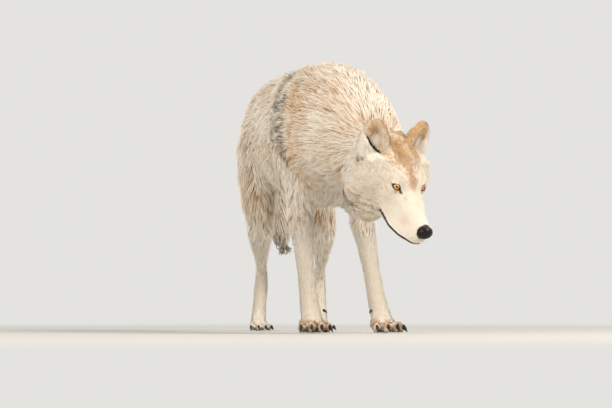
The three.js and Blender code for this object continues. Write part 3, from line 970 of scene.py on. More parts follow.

# %% [markdown]
# A wolf's ear is buff behind and dark along the rim. Inside, pale hair covers the fold, and the slit
# beside it is painted dark as painted shade. The cup is tan around a pale tuft, with painted shade in
# its upper part. The near ear carries more of both shades than the far one, whose shaded inner side is
# painted more buff.

# %% Marks of the ears


def ear_marks(local, normals, part):
    """Tan, grey and dark of both ears: buff backs, dark rims, a pale fold, and painted shade in the slit
    and the cup.
    """
    out = np.zeros((3, len(local)))
    for side, name in ((-1, "ear_right"), (1, "ear_left")):
        here = part == FLESH.index(name)
        across, height = in_ear(local[here], side)
        facing = step(normals[here] @ EARS[side][2][1], -0.15, 0.35)
        # the slit's painted shade is strong on the near ear and faint on the far one
        span = step(height, -0.06, 0.06) * step(height, 0.72, 0.36) * (1 if side < 0 else 0.3)
        from_slit = across - ear_slit(height)
        slit = np.exp(-((from_slit / 0.13) ** 2)) * span
        # the cup's upper part: tan, and grey that is painted shade
        cup_tan_and_shade = np.exp(-(((across + 0.05) / 0.4) ** 2) - ((height - 0.72) / 0.15) ** 2)
        cup_tan_and_shade *= step(from_slit, 0.0, -0.1)
        tuft = np.exp(-(((across + 0.25) / 0.2) ** 2) - ((height - 0.4) / 0.18) ** 2)
        rim = np.maximum(step(np.abs(across), 0.82, 1.0), step(height, 0.86, 0.98))
        rim *= step(height, 0.45, 0.7)
        inner = step(from_slit, 0.03, -0.05)
        # the near ear's cup takes more painted shade, and the far ear's shaded inner side more buff
        buff, deep = (0.5, 0.95) if side < 0 else (0.75, 0.2)
        out[0, here] = (0.45 + 0.2 * rim) * (1 - facing)
        out[0, here] += facing * (buff * inner * (1 - tuft) + 0.4 * cup_tan_and_shade + 0.3 * rim)
        out[1, here] = facing * deep * cup_tan_and_shade + 0.45 * rim * step(across, -0.4, 0.0)
        # the slit painted dark: painted shade inside it
        out[2, here] = facing * slit * 0.95
    return out


print("ears marked in tan, grey and dark")

# %% [markdown]
# Tan lies on the crown, the toes and the mane, and grey guard hair along the back. Behind the shoulder
# a grey band is partly guard hair and partly painted shade under the mane's first tier. Lids and lips
# are bare dark skin. Painted shade darkens the ears' slits and cups and the gaps between the toes, and
# greys the tail's lower end beside its dark tip. Each lock of the coat takes the shares of the skin
# under its root, so that skin and coat always match.

# %% Markings
LIP_MIDDLE, LIP_HALF = 0.5, 4.8  # the bare edge of the lips, in mm about the line between them
TAN_TIER, GUARD_AND_SHADE_TIER = (-0.06, 0.01), (0.025, 0.14)  # how far behind the mane's first tier these lie


def markings(at, local, normals, part, slit, lips, gap):
    y = local[:, 1]
    family_of = np.array([family(name) for name in FLESH])[part]
    head, tail = np.isin(family_of, ("head", "lower_jaw")), family_of == "tail"
    forepaw = family_of == "foreleg_paw"
    cape = np.isin(family_of, ("neck", "trunk"))
    body = cape | np.isin(family_of, ("foreleg_shoulder", "hindleg_thigh"))
    fine, broad = spots(at, 0.035, 3), spots(at, 0.12, 4)
    back = behind_collar(at)
    high = step(at[:, 2], 0.36, 0.46)

    tan = head * spotted(local, TAN_SPOTS)
    tan += head * 0.34 * step(spots(at, 0.011, 10), 0.4, 0.7) * step(y, -50, 10)  # loose locks
    tan += forepaw * 0.66 * step(at[:, 2], 0.048, 0.03) * step(spots(at, 0.02, 12), 0.0, 0.5) + tail * 0.3
    tan += body * (0.23 + 0.2 * fine * broad + 0.12 * broad)
    tier = step(back, TAN_TIER[0] - 0.05, TAN_TIER[0]) * step(back, TAN_TIER[1] + 0.04, TAN_TIER[1])
    tan += cape * high * 0.3 * tier * (0.4 + 0.6 * fine)

    # behind the first tier, grey that is partly guard hair and partly painted shade cast by the tier
    ragged = back + 0.06 * (fine - 0.5)
    guard_hair_and_shade_band = step(ragged, GUARD_AND_SHADE_TIER[0] - 0.02, GUARD_AND_SHADE_TIER[0] + 0.02)
    guard_hair_and_shade_band *= step(ragged, GUARD_AND_SHADE_TIER[1] + 0.05, GUARD_AND_SHADE_TIER[1])
    guard_hair_and_shade_band *= 0.45 + 0.55 * step(spots(at, 0.045, 5), 0.25, 0.7)
    grey = cape * step(at[:, 2], 0.4, 0.5) * 0.95 * guard_hair_and_shade_band
    spine = step(np.abs(at[:, 0]), 0.1, 0.02) * step(at[:, 2], 0.6, 0.68) * step(back, 0.06, 0.14)
    grey += cape * 0.5 * spine * step(spots(at, 0.04, 6), 0.35, 0.8)
    # the tail greyer toward its lower end: a dark tip, and painted shade where it hangs between the legs
    grey += tail * (0.35 + 0.6 * step(at[:, 2], 0.34, 0.24)) * step(spots(at, 0.06, 8), 0.1, 0.7)
    mottled = head * near(local, (78, 34, -100), (30, 44, 32))  # the lower ruff
    mottled = mottled * step(spots(at, 0.01, 9), 0.3, 0.6)
    grey += 1.5 * mottled + head * spotted(local, GREY_SPOTS)
    tan += 0.5 * mottled

    dark = np.exp(-((np.maximum(slit, 0) / 2.5) ** 2)) + near(local, (33, -19, -5), (4.5, 8, 4.5))
    dark = dark * head * (np.linalg.norm(np.abs(local) - (EYE_X, 0, 0), axis=1) < 30)
    dark += lips + head * 0.55 * near(local, (55, -4, -79), (8, 12, 6))  # the mouth and its corner
    # dark between the toes, which is dark hair and painted shade in the gaps, and round the nose pad
    dark += gap * (0.45 * forepaw + 0.3) + head * step(beyond_pad(local), 1.14, 1.03)
    blush = head * (spotted(local, BLUSH_SPOTS) + 0.1 * step(y, -40, -80))
    on_ears = ear_marks(local, normals, part)
    return np.clip(np.stack([tan + on_ears[0], grey + on_ears[1], dark + on_ears[2], blush], 1), 0, 1)


def slit_of(local):
    """How far each place on the head lies outside the nearer eye's slit."""
    best = np.full(len(local), 99.0)
    for side in (-1, 1):
        centre, axes = eye_frame(side)
        along, up, out = ((local - centre) @ axes.T).T
        best = np.minimum(best, np.where(out > -8, slit_distance(along, up), 99))
    return best


def carry(mesh, name, values):
    """Gives the mesh a number or a colour at each vertex."""
    single = np.ndim(values) == 1
    kind = "FLOAT" if single else "FLOAT_COLOR"
    layer = mesh.attributes.new(name, kind, "POINT")
    layer.data.foreach_set("value" if single else "color", np.ascontiguousarray(values, np.float32).ravel())


local_now = in_head(sunk)
slit = np.where(on_face, slit_of(local_now), 99)
level = mouth_line(local_now)
lip_share = step(local_now[:, 1], MOUTH_CORNER + 2, MOUTH_CORNER - 8) * (np.abs(local_now[:, 0]) < 66)
lips = on_face * lip_share * step(np.abs(level - LIP_MIDDLE), LIP_HALF + 1, LIP_HALF - 1)
marks = markings(sunk, local_now, normals @ HEAD_TURN, part, slit, lips, gap)
carry(skin.data, "marks", marks)
print("markings cover", [round(float(share), 3) for share in marks.mean(0)], "of the skin on average")

# %% [markdown]
# The coat's colour is worked out once, and serves both the skin and the locks: cream-white, warmer and
# darker toward the roots, with the tan, grey and dark of the markings laid over it. Locks also differ a
# little from one another. The grey, which is guard hair and in places painted shade, darkens only toward
# the tips, and the dark is bare skin and in places painted shade.

# %% Colours of skin and coat
CREAM, CREAM_SHADE = rgb("fbf3e6"), rgb("e3d0ae")
BUFF, BUFF_DEEP = rgb("e2b988"), rgb("b08350")
GUARD_GREY_AND_SHADE, BARE_SKIN_AND_SHADE, BLUSH = rgb("5c4f41"), rgb("1a1310"), rgb("bd9488")


def coat_colour(net, along, tone):
    marks = net.carried("marks", out="Color")
    parted = net.add("ShaderNodeSeparateColor", {}, marks)
    tan, grey, dark = (Value(net, parted.socket.node.outputs[k]) for k in range(3))
    blush = net.carried("marks", out="Alpha")
    cream = net.mix(along.step(0.0, 0.62) * 0.8 + tone * 0.3, CREAM_SHADE, CREAM)
    buff = net.mix(along.step(0.1, 0.9), BUFF_DEEP, BUFF)
    share = (tan * (tone * 0.9 + 0.45) - along * 0.26).step(-0.05, 0.7)
    colour = net.mix(share, cream, buff)
    # grey tips: guard hair, and painted shade behind the mane's first tier, in the near ear's cup and down
    # the tail
    tips = along.step(0.35, 0.8) * (grey * (tone * 1.5 + 0.2)).step(0.1, 0.7)
    colour = net.mix(tips, colour, GUARD_GREY_AND_SHADE)
    colour = net.mix(blush * 0.6, colour, BLUSH)
    # bare dark skin of lids, lips and nose rim, and painted shade in the ears' slits and between the toes
    return net.mix(dark.step(0.25, 0.75), colour, BARE_SKIN_AND_SHADE), dark


def skin_finish():
    net = Net("skin under short fur")
    fleck = net.noise(420, 4, 0.7)
    broad = net.noise(35, 2)
    colour, dark = coat_colour(net, fleck * 0.4 + 0.4, broad)
    strands = net.noise(900, 2, 0.8, net.stretched((1, 0.35, 0.35)))
    normal = net.bump(strands * 0.6 + fleck * 0.4, 0.0012, 0.7)
    return net.surface(Base_Color=colour, Roughness=dark * -0.35 + 0.75, Normal=normal)


skin.data.materials.clear()
skin.data.materials.append(skin_finish())
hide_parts(*FLESH)
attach(skin, "root")
print("skin finished, standing for", len(FLESH), "solids")

# %% [markdown]
# A wolf's eye shows almost no white. The ball is a sphere whose pole looks out of the slit, and the
# window over its iris bulges a little. The mesh carries each corner's distance from the pole and its
# direction round it, from which the colours are worked out.

# %% Eyeballs
IRIS, PUPIL = 8.4, 3.7  # radii, in millimetres
GAZE_TURN = {-1: (0.05, 0.13), 1: (-0.16, 0.13)}  # toward the outer corner of the eye, and up


def make_eye(side, node):
    centre, axes = eye_frame(side)
    turn_out, turn_up = GAZE_TURN[side]
    gaze = unit(axes[2] + turn_out * axes[0] + turn_up * axes[1])
    right = unit(np.cross((0, 0, 1), gaze))
    bm = bmesh.new()
    bmesh.ops.create_uvsphere(bm, u_segments=64, v_segments=48, radius=EYE_RADIUS)
    for v in bm.verts:
        off_axis = math.hypot(v.co.x, v.co.y)
        if v.co.z > 0 and off_axis < IRIS:
            v.co.z += 1.1 * (1 - (off_axis / IRIS) ** 2)
    mesh = bpy.data.meshes.new(node)
    bm.to_mesh(mesh)
    bm.free()
    at = corners(mesh)
    spread = np.where(at[:, 2] > 0, np.hypot(at[:, 0], at[:, 1]), 20)
    carry(mesh, "from_pole", spread)
    carry(mesh, "round_pole", np.stack([at[:, 0], at[:, 1], 0 * at[:, 0], 1 + 0 * at[:, 0]], 1))
    turned = at @ np.array((right, np.cross(gaze, right), gaze)) + centre
    set_corners(mesh, on_head(turned))
    eye = bpy.data.objects.new("eyeball_" + node.split("_")[1], mesh)
    bpy.context.scene.collection.objects.link(eye)
    for face in mesh.polygons:
        face.use_smooth = True
    return eye


print("the iris is", 2 * IRIS, "mm across")

# %% [markdown]
# The iris is amber, deeper at its rim, with fine fibres running in to a small round pupil. The window
# in front of it is always wet, which a clear coat over the colours gives.

# %% Amber irises


def eye_finish():
    net = Net("amber eye")
    out = net.carried("from_pole")
    way = net.carried("round_pole", out="Vector")
    spoke = net.add("ShaderNodeVectorMath", {"operation": "NORMALIZE"}, way, out="Vector")
    fibres = net.noise(9, 5, 0.7, spoke)
    amber = net.mix(fibres.step(0.35, 0.65), rgb("c06a05"), rgb("ffb31c"))
    amber = net.mix(out.step(PUPIL, PUPIL + 2.2), rgb("f0a020"), amber)
    amber = net.mix(out.step(IRIS - 1.9, IRIS - 0.2), amber, rgb("241004"))
    ball = net.mix(out.step(IRIS - 0.3, IRIS + 0.6), amber, rgb("1c120c"))
    colour = net.mix(out.step(PUPIL - 0.25, PUPIL + 0.2), rgb("040302"), ball)
    wet = net.bump(net.noise(300), 0.0001, 0.2)
    return net.surface(Base_Color=colour, Roughness=0.08, Coat_Weight=1.0, Coat_Roughness=0.02, Normal=wet)


amber = eye_finish()
for side, node in ((-1, "eye_right"), (1, "eye_left")):
    eye = make_eye(side, node)
    eye.data.materials.append(amber)
    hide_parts(node)
    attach(eye, "root")
print("two eyes", round(2 * EYE_RADIUS, 1), "mm across")

# %% [markdown]
# The nose pad has comma-shaped nostrils that curl outward, and a groove that runs down to the lip. The
# packed nose has the outline, so a fine remesh of it is smoothed and brought back to its size, and
# then the groove, the nostrils and the slits behind them are pushed in.

# %% Nose pad
nose = merged_copy(["nose"], "nose_pad")
voxel_remesh(nose, 0.9 * MM)
nose_ends = edges_of(nose.data)
packed = in_head(corners(nose.data))
at = averaged(packed, nose_ends, 0.5, 70)
at = at.mean(0) + (at - at.mean(0)) * (np.ptp(packed, axis=0) / np.ptp(at, axis=0))
NOSE_FRONT, NOSE_LEVEL = at[:, 1].min(), (at[:, 2].min() + at[:, 2].max()) / 2
set_corners(nose.data, on_head(at))
out = normals_of(nose.data) @ HEAD_TURN
groove = -2.0 * np.exp(-((at[:, 0] / 1.3) ** 2)) * step(at[:, 2], NOSE_LEVEL + 4, NOSE_LEVEL - 6)
curl = near(at, (15.5, NOSE_FRONT + 13, NOSE_LEVEL - 4), (3.4, 6.0, 2.0))
deep = near(at, (9.5, NOSE_FRONT + 2, NOSE_LEVEL - 2), (4.2, 4.0, 4.0))
at += out * (groove - 3.0 * curl - 1.2 * deep)[:, None]
set_corners(nose.data, on_head(at))
# the nostrils and the groove, where the leather takes painted shade
carry(nose.data, "pit", np.clip(curl + deep + 0.4 * (groove < -0.8), 0, 1))
for face in nose.data.polygons:
    face.use_smooth = True
print("nose pad of", len(nose.data.polygons), "faces")

# %% [markdown]
# The pad is bare leather: black, pebbled and a little moist, with painted shade darkening its nostrils and
# groove.

# %% Nose leather


def nose_finish():
    net = Net("nose leather")
    cells = {"Vector": net.place(), "Scale": 620.0}
    pebbles = net.add("ShaderNodeTexVoronoi", {"feature": "F1"}, out="Distance", **cells)
    pit = net.carried("pit")
    worn = net.noise(130, 3)
    colour = net.mix(worn, rgb("0c0908"), rgb("1a1311"))
    # painted shade in the nostrils and the groove
    colour = net.mix(pit, colour, rgb("030202"))
    normal = net.bump(pebbles * -1.0 + worn * 0.3, 0.0005, 0.35)
    shine = {"Coat_Weight": 0.3, "Coat_Roughness": 0.08, "Specular_IOR_Level": 0.12}
    return net.surface(Base_Color=colour, Roughness=worn * 0.15 + 0.3, Normal=normal, **shine)


nose.data.materials.clear()
nose.data.materials.append(nose_finish())
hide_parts("nose")
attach(nose, "root")
print("the pad is", round(float(np.ptp(at[:, 0]))), "mm wide")

# %% [markdown]
# Claws are blunt black horn, ridged along their length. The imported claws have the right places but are
# faceted, and the fur takes a part of each. So each is copied, merged and rounded by subdivision. The
# claws are also drawn out a little from their roots, while the dewclaws are made smaller.

# %% Claws
CLAW_SIZE, DEWCLAW_SIZE = 1.4, 0.75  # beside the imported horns, whose roots the fur covers
CLAW_TIP = 1 * MM  # how near the floor a claw may come


def horn_finish():
    net = Net("claw horn")
    grain = net.noise(160, 4, 0.6, net.stretched((1, 1, 0.15)))
    colour = net.mix(grain, rgb("0e0a08"), rgb("2b221c"))
    return net.surface(Base_Color=colour, Roughness=grain * 0.25 + 0.3, Normal=net.bump(grain, 0.0006, 0.5))


horn = horn_finish()
for node in (n for n in HARD if "claw" in n):
    claw = merged_copy([node], node.replace("claw", "horn"))
    at = corners(claw.data)
    base = at[at[:, 2] > np.percentile(at[:, 2], 70)].mean(0)
    grown = base + (at - base) * (DEWCLAW_SIZE if "dewclaw" in node else (0.9, 1.1, CLAW_SIZE))
    grown[:, 2] = np.maximum(grown[:, 2], CLAW_TIP)
    set_corners(claw.data, grown)
    claw.data.materials.clear()
    claw.data.materials.append(horn)
    rounder = claw.modifiers.new("rounder", "SUBSURF")
    rounder.levels = rounder.render_levels = 2
    for face in claw.data.polygons:
        face.use_smooth = True
    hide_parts(node)
    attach(claw, "root")
print(sum("claw" in n for n in HARD), "claws")

# %% [markdown]
# The coat is grown as locks: thin closed spikes with three sides, flat to the body, wide near the root
# and running out to a point. How many stand on a square centimetre follows from their length, because
# short hair needs many and long hair overlaps. Lids, lips and soles stay bare.

# %% How densely the coat grows
LENGTH_STEPS = (4, 8, 14, 25, 40, 52, 70)  # millimetres of hair
DENSITY_STEPS = (21, 17, 12.5, 9.2, 7.4, 7.0, 7.2)  # locks on a square centimetre
THINNING = 0.93  # thins the whole coat evenly, which keeps its triangles few; takes the whole coat to its triangle budget


def triangles_of(mesh):
    mesh.calc_loop_triangles()
    out = np.zeros(len(mesh.loop_triangles) * 3, int)
    mesh.loop_triangles.foreach_get("vertices", out)
    return out.reshape(-1, 3)


skin_at, skin_faces = corners(skin.data), triangles_of(skin.data)
SKIN_TREE = BVHTree.FromPolygons(skin_at.tolist(), skin_faces.tolist())
NOSE_TREE = BVHTree.FromObject(nose, bpy.context.evaluated_depsgraph_get())
CLAW_TREE = solids_tree([name for name in HARD if "claw" in name])[0]
PAD_EDGE, CLAW_EDGE = 1.2 * MM, 2.5 * MM  # no lock is rooted nearer the nose pad or a claw
LOOK_WITHIN = 0.03  # pad and claws are looked for no farther away than this


def lock_density():
    """Locks on a square metre of skin, at each vertex."""
    dense = np.interp(hair_length, LENGTH_STEPS, DENSITY_STEPS) * 1e4 * THINNING
    bare = np.maximum(step(slit, 2.9, 1.6), step(lips, 0.25, 0.6))
    sole = step(skin_at[:, 2], 0.006, 0.002) * (normals[:, 2] < -0.3)
    ahead = 0.8 + 0.45 * step(skin_at[:, 1], 0.1, -0.15) * step(skin_at[:, 2], 0.25, 0.4)
    return dense * ahead * (1 - bare) * (1 - sole)


print("up to", round(float(lock_density().max()) / 1e4, 1), "locks on a square centimetre")

# %% [markdown]
# Roots are drawn evenly along the running total of each triangle's share, so that the coat has
# neither holes nor lumps. A root takes what the skin carries at its place, blended from the three
# corners of its triangle.

# %% Where the locks are rooted
draw = np.random.default_rng(11)


def clear_of(tree, at, edge):
    """Whether places keep at least that far from the nose pad or the claws."""
    away = np.array([tree.find_nearest(spot, LOOK_WITHIN)[3] or 1 for spot in at.tolist()])
    return away > edge


def roots():
    dense = lock_density()[skin_faces].mean(1)
    a, b, c = (skin_at[skin_faces[:, k]] for k in range(3))
    area = np.linalg.norm(np.cross(b - a, c - a), axis=1) / 2
    total = np.cumsum(dense * area)
    count = int(total[-1])
    chosen = np.searchsorted(total, np.arange(count) + draw.random(count)).clip(0, len(area) - 1)
    p, q = draw.random((2, count))
    flip = p + q > 1
    p, q = np.where(flip, 1 - p, p), np.where(flip, 1 - q, q)
    share = np.stack([1 - p - q, p, q], 1)
    at = (skin_at[skin_faces[chosen]] * share[:, :, None]).sum(1)
    clear = clear_of(NOSE_TREE, at, PAD_EDGE) & clear_of(CLAW_TREE, at, CLAW_EDGE)
    return at[clear], chosen[clear], share[clear]


def at_roots(values, chosen, share):
    """A value of the skin's vertices, read where a lock is rooted."""
    picked = values[skin_faces[chosen]]
    return (picked * (share[:, :, None] if picked.ndim == 3 else share)).sum(1)


root, chosen, share = roots()
COUNT = len(root)
length = at_roots(hair_length, chosen, share)
depth = at_roots(hair_depth, chosen, share)
root_part = part[skin_faces[chosen, 0]]
root_marks = at_roots(marks, chosen, share)
print(COUNT, "locks")

# %% [markdown]
# A lock follows the skin. It is walked forward in a few strides along the coat's lie, each stride put
# back on the skin, and lifted a little more each time until it has the coat's full depth. So a lock
# of straight pieces bends round every form under it. Long hair also hangs away from the body.

# %% A lock's path
STRIDES = 3
soft_normals = unit(averaged(normals, ends, 0.5, 25))  # evens the light in narrow folds


def feet(points):
    """The nearest places on the skin, with its normal and the coat's lie there."""
    found = [SKIN_TREE.find_nearest(p) for p in points.tolist()]
    foot = np.array([f[0] for f in found])
    face = skin_faces[[f[2] for f in found]]
    return foot, unit(soft_normals[face].mean(1)), unit(lie[face].mean(1))


def walk(root, length, depth, swing, layer, loose):
    """The lock's points from root to tip, and the skin's normal under each."""
    foot, normal, heading = feet(root)
    sideways = np.cross(normal, heading)
    heading = unit(heading + sideways * swing[:, None])
    start, up = heading, normal
    path, ups = [root], [normal]
    stride = (length / STRIDES)[:, None]
    for k in range(1, STRIDES + 1):
        run = k / STRIDES
        moved = foot + heading * stride
        foot, normal, lie_here = feet(moved)
        heading = laid(heading + 0.6 * lie_here, normal)
        rise = depth * layer * math.sin(math.pi / 2 * run**0.75)
        free = root + (start * 0.92 + up * 0.35 + np.array((0, 0, -0.35 * run))) * (length * run)[:, None]
        held = foot + normal * rise[:, None]
        path.append(held + (free - held) * (loose * run)[:, None])
        ups.append(normal)
    return np.stack(path, 1), np.stack(ups, 1)


print("a lock has", STRIDES, "strides")

# %% [markdown]
# Neighbours run together toward shared tips, which gives the mane its wisps. A few locks lead, and
# each of the others is drawn to the nearest leader, more and more toward the tip.

# %% Wisps
WISP_REACH = 0.016  # about how far from its leader a lock may be rooted and still join it
LEADERS = 0.085  # share of the locks that lead a wisp
LONG_PULL, SHORT_PULL = 0.72, 0.15  # how far long and short locks are drawn to their leader


def gathered(path, root, pull):
    """Paths drawn toward the nearest of a few leading locks, more and more toward the tip."""
    leaders = np.flatnonzero(draw.random(len(root)) < LEADERS)
    tree = KDTree(len(leaders))
    for number, spot in enumerate(root[leaders].tolist()):
        tree.insert(spot, number)
    tree.balance()
    lead = leaders[[tree.find(spot)[1] for spot in root.tolist()]]
    apart = np.linalg.norm(root[lead] - root, axis=1)
    close = pull * step(apart, WISP_REACH * 1.6, WISP_REACH * 0.4)
    along = (np.arange(path.shape[1]) / (path.shape[1] - 1)) ** 1.4
    return path + (path[lead] - path) * (close[:, None] * along)[:, :, None], lead


print("wisps are drawn together by their leading locks")

# %% [markdown]
# Each lock gets its own length, swing and looseness. Hair stands out most on the crest of the
# shoulders, down the nape and along the edge of the mane's first tier.

# %% Walk the locks
long_hair = step(length, 12, 45)
layer = 1 - 0.75 * draw.random(COUNT) ** 1.7
crest = step(root[:, 2], 0.6, 0.69) * step(root[:, 1], 0.34, 0.2)
fringe = np.exp(-(((behind_collar(root) + 0.03) / 0.03) ** 2)) * long_hair * step(root[:, 2], 0.38, 0.46)
vary = length * (0.72 + 0.5 * draw.random(COUNT))
swing = draw.normal(size=COUNT) * (0.1 + 0.18 * long_hair)
nape = step(at_roots(normals, chosen, share)[:, 2], 0.1, 0.6) * step(root[:, 1], 0.0, -0.15)
loose = (0.28 + 0.3 * np.maximum(crest, nape) + 0.3 * fringe) * long_hair * draw.random(COUNT) ** 1.5
path, ups = walk(root, vary * MM, np.maximum(depth, 1.2) * (1 + 0.6 * crest) * MM, swing, layer, loose)
path, lead = gathered(path, root, LONG_PULL * long_hair + SHORT_PULL * (1 - long_hair))
tone = np.clip(0.5 + 0.16 * draw.normal(size=COUNT)[lead] + 0.14 * draw.normal(size=COUNT), 0, 1)
print("walked", COUNT, "locks in", STRIDES, "strides")

# %% [markdown]
# Now each path becomes a lock. Three corners stand round each of its points, two low at the sides and
# one high on the ridge, and shrink toward a single tip, so that light finds a ridge and two flanks on
# every lock. Short hair keeps fewer points and lies flatter.

# %% The shape of a lock
LOCK_SECTION = ((-1, -0.2), (1, -0.2), (0, 0.45))  # across and over, in half widths
RELIEF = {3: 1.0, 2: 0.45}  # short hair lies flatter
WIDTHS = {3: (0.8, 1.0, 0.6), 2: (0.85, 0.8)}  # share of full width at each ring, root first
ROUNDNESS = 0.45  # how far a lock's flanks are shaded as turned aside


def lock_faces(rings):
    """The triangles of one lock: base, flanks and tip, each facing out."""
    faces = [(0, 1, 2)]
    for r in range(rings - 1):
        a, b = 3 * r, 3 * r + 3
        for k in range(3):
            m = (k + 1) % 3
            faces += [(a + k, b + m, a + m), (a + k, b + k, b + m)]
    last = 3 * (rings - 1)
    faces += [(last + k, 3 * rings, last + (k + 1) % 3) for k in range(3)]
    return np.array(faces)


def lock_places(path, ups, width):
    """Each lock's corners, the way each is shaded, and where it lies about the lock's own middle."""
    count, points = path.shape[:2]
    rings = points - 1
    ahead = unit(np.diff(path, axis=1))
    corners_at = np.empty((count, 3 * rings + 1, 3))
    shade = np.empty_like(corners_at)
    around = np.empty((count, 3 * rings + 1, 2))
    for r in range(rings):
        forward = ahead[:, r] if r == 0 else unit(ahead[:, r - 1] + ahead[:, r])
        beside = unit(np.cross(forward, ups[:, r]))
        above = np.cross(beside, forward)
        half = (width * WIDTHS[rings][r] / 2)[:, None]
        for k, (across, over) in enumerate(LOCK_SECTION):
            aside = beside * half * across + above * half * over * RELIEF[rings]
            corners_at[:, 3 * r + k] = path[:, r] + aside
            shade[:, 3 * r + k] = ups[:, r] + beside * across * ROUNDNESS * RELIEF[rings]
        around[:, 3 * r : 3 * r + 3, 0] = (-0.5, 0.5, 0)
        around[:, 3 * r : 3 * r + 3, 1] = r / rings - 0.5
    corners_at[:, -1] = path[:, -1]
    shade[:, -1] = ups[:, -1] + 0.2 * ahead[:, -1]
    around[:, -1] = (0, 0.5)
    return corners_at, shade, around


print("a long lock has", len(lock_faces(3)), "triangles, a short one", len(lock_faces(2)))

# %% [markdown]
# The locks share the skin's colours, and take them further along toward their tips. Fine strands are
# a bump across each lock.

# %% The coat's finish


def coat_finish():
    net = Net("winter coat")
    along, tone = net.carried("along"), net.carried("tone")
    broad = net.noise(28, 3)
    colour, _ = coat_colour(net, along + (broad - 0.5) * 0.35, tone)
    fine = net.noise(1300, 2, 0.6, net.stretched((1, 0.6, 0.3)))
    return net.surface(Base_Color=colour, Roughness=0.62, Normal=net.bump(fine, 0.0004, 0.5))


coat_material = coat_finish()
print("finish:", coat_material.name)

# %% [markdown]
# The arrays for thousands of locks are filled at once, which is far quicker than an operator for each.
# A lock's shading leans toward the broad shape of the body under it, as in dense soft fur. The map
# for baking gives each lock a tiny patch at its root's place on an unrolled body.

# %% Turn paths into locks
PATCH = 0.003
OWN_SHAPE = 0.6  # how much of a lock's own facets shows beside the body's broad shape


def build_locks(called, path, ups, width, tone, marks, chart):
    count, rings = len(path), path.shape[1] - 1
    corners_at, shade, around = lock_places(path, ups, width)
    size = 3 * rings + 1
    one = lock_faces(rings)
    faces = (one[None] + (np.arange(count) * size)[:, None, None]).reshape(-1, 3)
    mesh = bpy.data.meshes.new(called)
    mesh.vertices.add(count * size)
    mesh.loops.add(len(faces) * 3)
    mesh.polygons.add(len(faces))
    mesh.vertices.foreach_set("co", corners_at.ravel())
    mesh.loops.foreach_set("vertex_index", faces.ravel())
    mesh.polygons.foreach_set("loop_start", np.arange(0, 3 * len(faces), 3))
    mesh.polygons.foreach_set("use_smooth", np.ones(len(faces), bool))
    mesh.update(calc_edges=True)
    along = np.tile(np.append(np.repeat(np.arange(rings) / rings, 3), 1.0), count)
    leaning = mesh.attributes.new("custom_normal", "FLOAT_VECTOR", "CORNER")
    shade = unit(shade)[:, one]
    shade[:, (one % 3 != 2).all(1)] = 0  # the undersides are shaded as they lie
    first, second, third = (corners_at[:, one[:, k]] for k in range(3))
    facing = unit(np.cross(second - first, third - first))[:, :, None]
    shade = unit(shade + OWN_SHAPE * facing)
    leaning.data.foreach_set("vector", shade.astype(np.float32).ravel())
    carry(mesh, "along", along)
    carry(mesh, "tone", np.repeat(tone, size))
    carry(mesh, "marks", np.repeat(marks, size, axis=0))
    spread = (chart[:, None] + around * PATCH).reshape(-1, 2).clip(0, 1)[faces.ravel()]
    mesh.uv_layers.new(name="OFBake").data.foreach_set("uv", spread.astype(np.float32).ravel())
    piece = bpy.data.objects.new(called, mesh)
    bpy.context.scene.collection.objects.link(piece)
    mesh.materials.append(coat_material)
    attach(piece, "root")
    return len(faces)


print("each lock takes", PATCH, "of its chart's side")

# %% [markdown]
# A part's chart goes round it by angle and along it by distance, as if the skin were slit below and
# rolled flat. Legs and ears come in pairs, so the right one has one half of the map and the left the
# other.

# %% Charts for baking


def rolled(at, centre, along, first):
    """A part unrolled about an axis: angle round it from first, distance along it, both from 0 to 1."""
    along = np.asarray(along, float) / np.linalg.norm(along)
    first = np.asarray(first, float) - along * np.dot(first, along)
    first /= np.linalg.norm(first)
    away = at - centre
    run = away @ along
    angle = np.arctan2(away @ np.cross(along, first), away @ first) / (2 * math.pi) + 0.5
    return np.stack([angle, (run - run.min()) / max(np.ptp(run), 1e-6)], 1)


def paired_chart(at, part):
    """The right leg or ear has one half of the map, and the left the other."""
    out = np.zeros((len(at), 2))
    for column, side in enumerate(("right", "left")):
        here = np.array([side in FLESH[n] for n in part])
        if here.any():
            centre = at[here].mean(0)
            flat = rolled(at[here], centre, (0, 0, -1), (0, 1, 0))
            out[here] = flat * (0.49, 1) + (0.5 * column + 0.005, 0)
    return out


def chart_of(group, at, part):
    if "legs" in group or "ears" in group:
        return paired_chart(at, part)
    if "head" in group:
        return rolled(at, HEAD_ORIGIN, HEAD_TURN[:, 1], HEAD_TURN[:, 2])
    if "tail" in group:
        return rolled(at, at.mean(0), (0, 0.25, -1), (0, -1, 0))
    return rolled(at, np.array((0, 0, at[:, 2].mean())), (0, 1, 0), (0, 0, 1))


print("charts are ready")

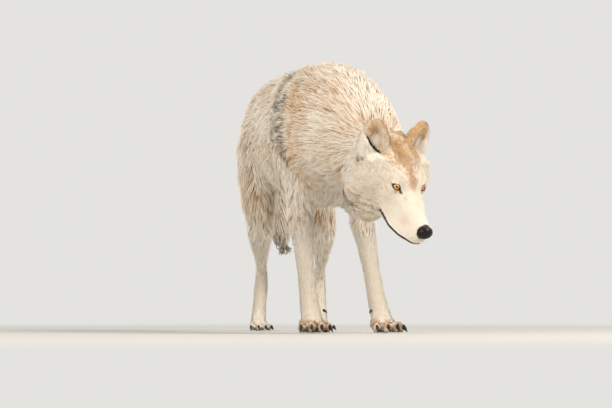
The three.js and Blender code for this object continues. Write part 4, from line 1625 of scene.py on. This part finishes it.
# %% [markdown]
# The coat is shared out over pieces: the head, the ears, the neck, the trunk, the tail, and the upper
# and lower parts of the fore and hind legs, each in as many strips as it needs to stay light.

# %% Share the coat out over pieces
PIECE_LOCKS = 12000  # locks in one piece, at most
LONG, SHORT = (0, 1, 2, 3), (0, 2, 3)  # which points of its path a lock keeps
GROUPS = {  # name: (families, slot, points)
    "coat_head": (("head", "lower_jaw"), "face_fur", SHORT),
    "coat_ears": (("ear",), "ear_fur", SHORT),
    "coat_mane": (("neck",), "mane_fur", LONG),
    "coat_trunk": (("trunk",), "body_fur", LONG),
    "coat_tail": (("tail",), "body_fur", LONG),
    "coat_shoulder_legs": (("foreleg_shoulder",), "body_fur", LONG),
    "coat_fore_legs": (("foreleg_forearm", "foreleg_paw"), "leg_fur", SHORT),
    "coat_thigh_legs": (("hindleg_thigh",), "body_fur", LONG),
    "coat_hind_legs": (("hindleg_shank", "hindleg_hock", "hindleg_paw"), "leg_fur", SHORT),
}
family_of_root = np.array([family(name) for name in FLESH])[root_part]
width = (0.9 + 0.027 * length) * (0.75 + 0.5 * draw.random(COUNT)) * MM
spent = 0
for group, (families, slot_name, kept) in GROUPS.items():
    members = np.flatnonzero(np.isin(family_of_root, families))
    chart = chart_of(group, root[members], root_part[members]) * 0.98 + 0.01
    order = np.argsort(chart[:, 0] if "legs" not in group else root[members][:, 0], kind="stable")
    parts = -(-len(members) // PIECE_LOCKS)
    for number, share_out in enumerate(np.array_split(order, parts)):
        mine = members[share_out]
        called = group if parts == 1 else f"{group}_{number + 1}"
        spent += build_locks(
            called, path[mine][:, kept], ups[mine][:, kept], width[mine],
            tone[mine], root_marks[mine], chart[share_out],
        )
        print(called, len(mine), "locks")
print("the coat has", spent, "triangles")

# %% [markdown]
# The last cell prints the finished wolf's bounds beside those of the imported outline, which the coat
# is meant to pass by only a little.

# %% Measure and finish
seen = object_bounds()
sizes = {"cad": [list(corner) for corner in CAD_BOX], "seen": [list(corner) for corner in seen]}
for whose, (low, high) in sizes.items():
    print(whose, [round(side, 3) for side in low], "to", [round(side, 3) for side in high])
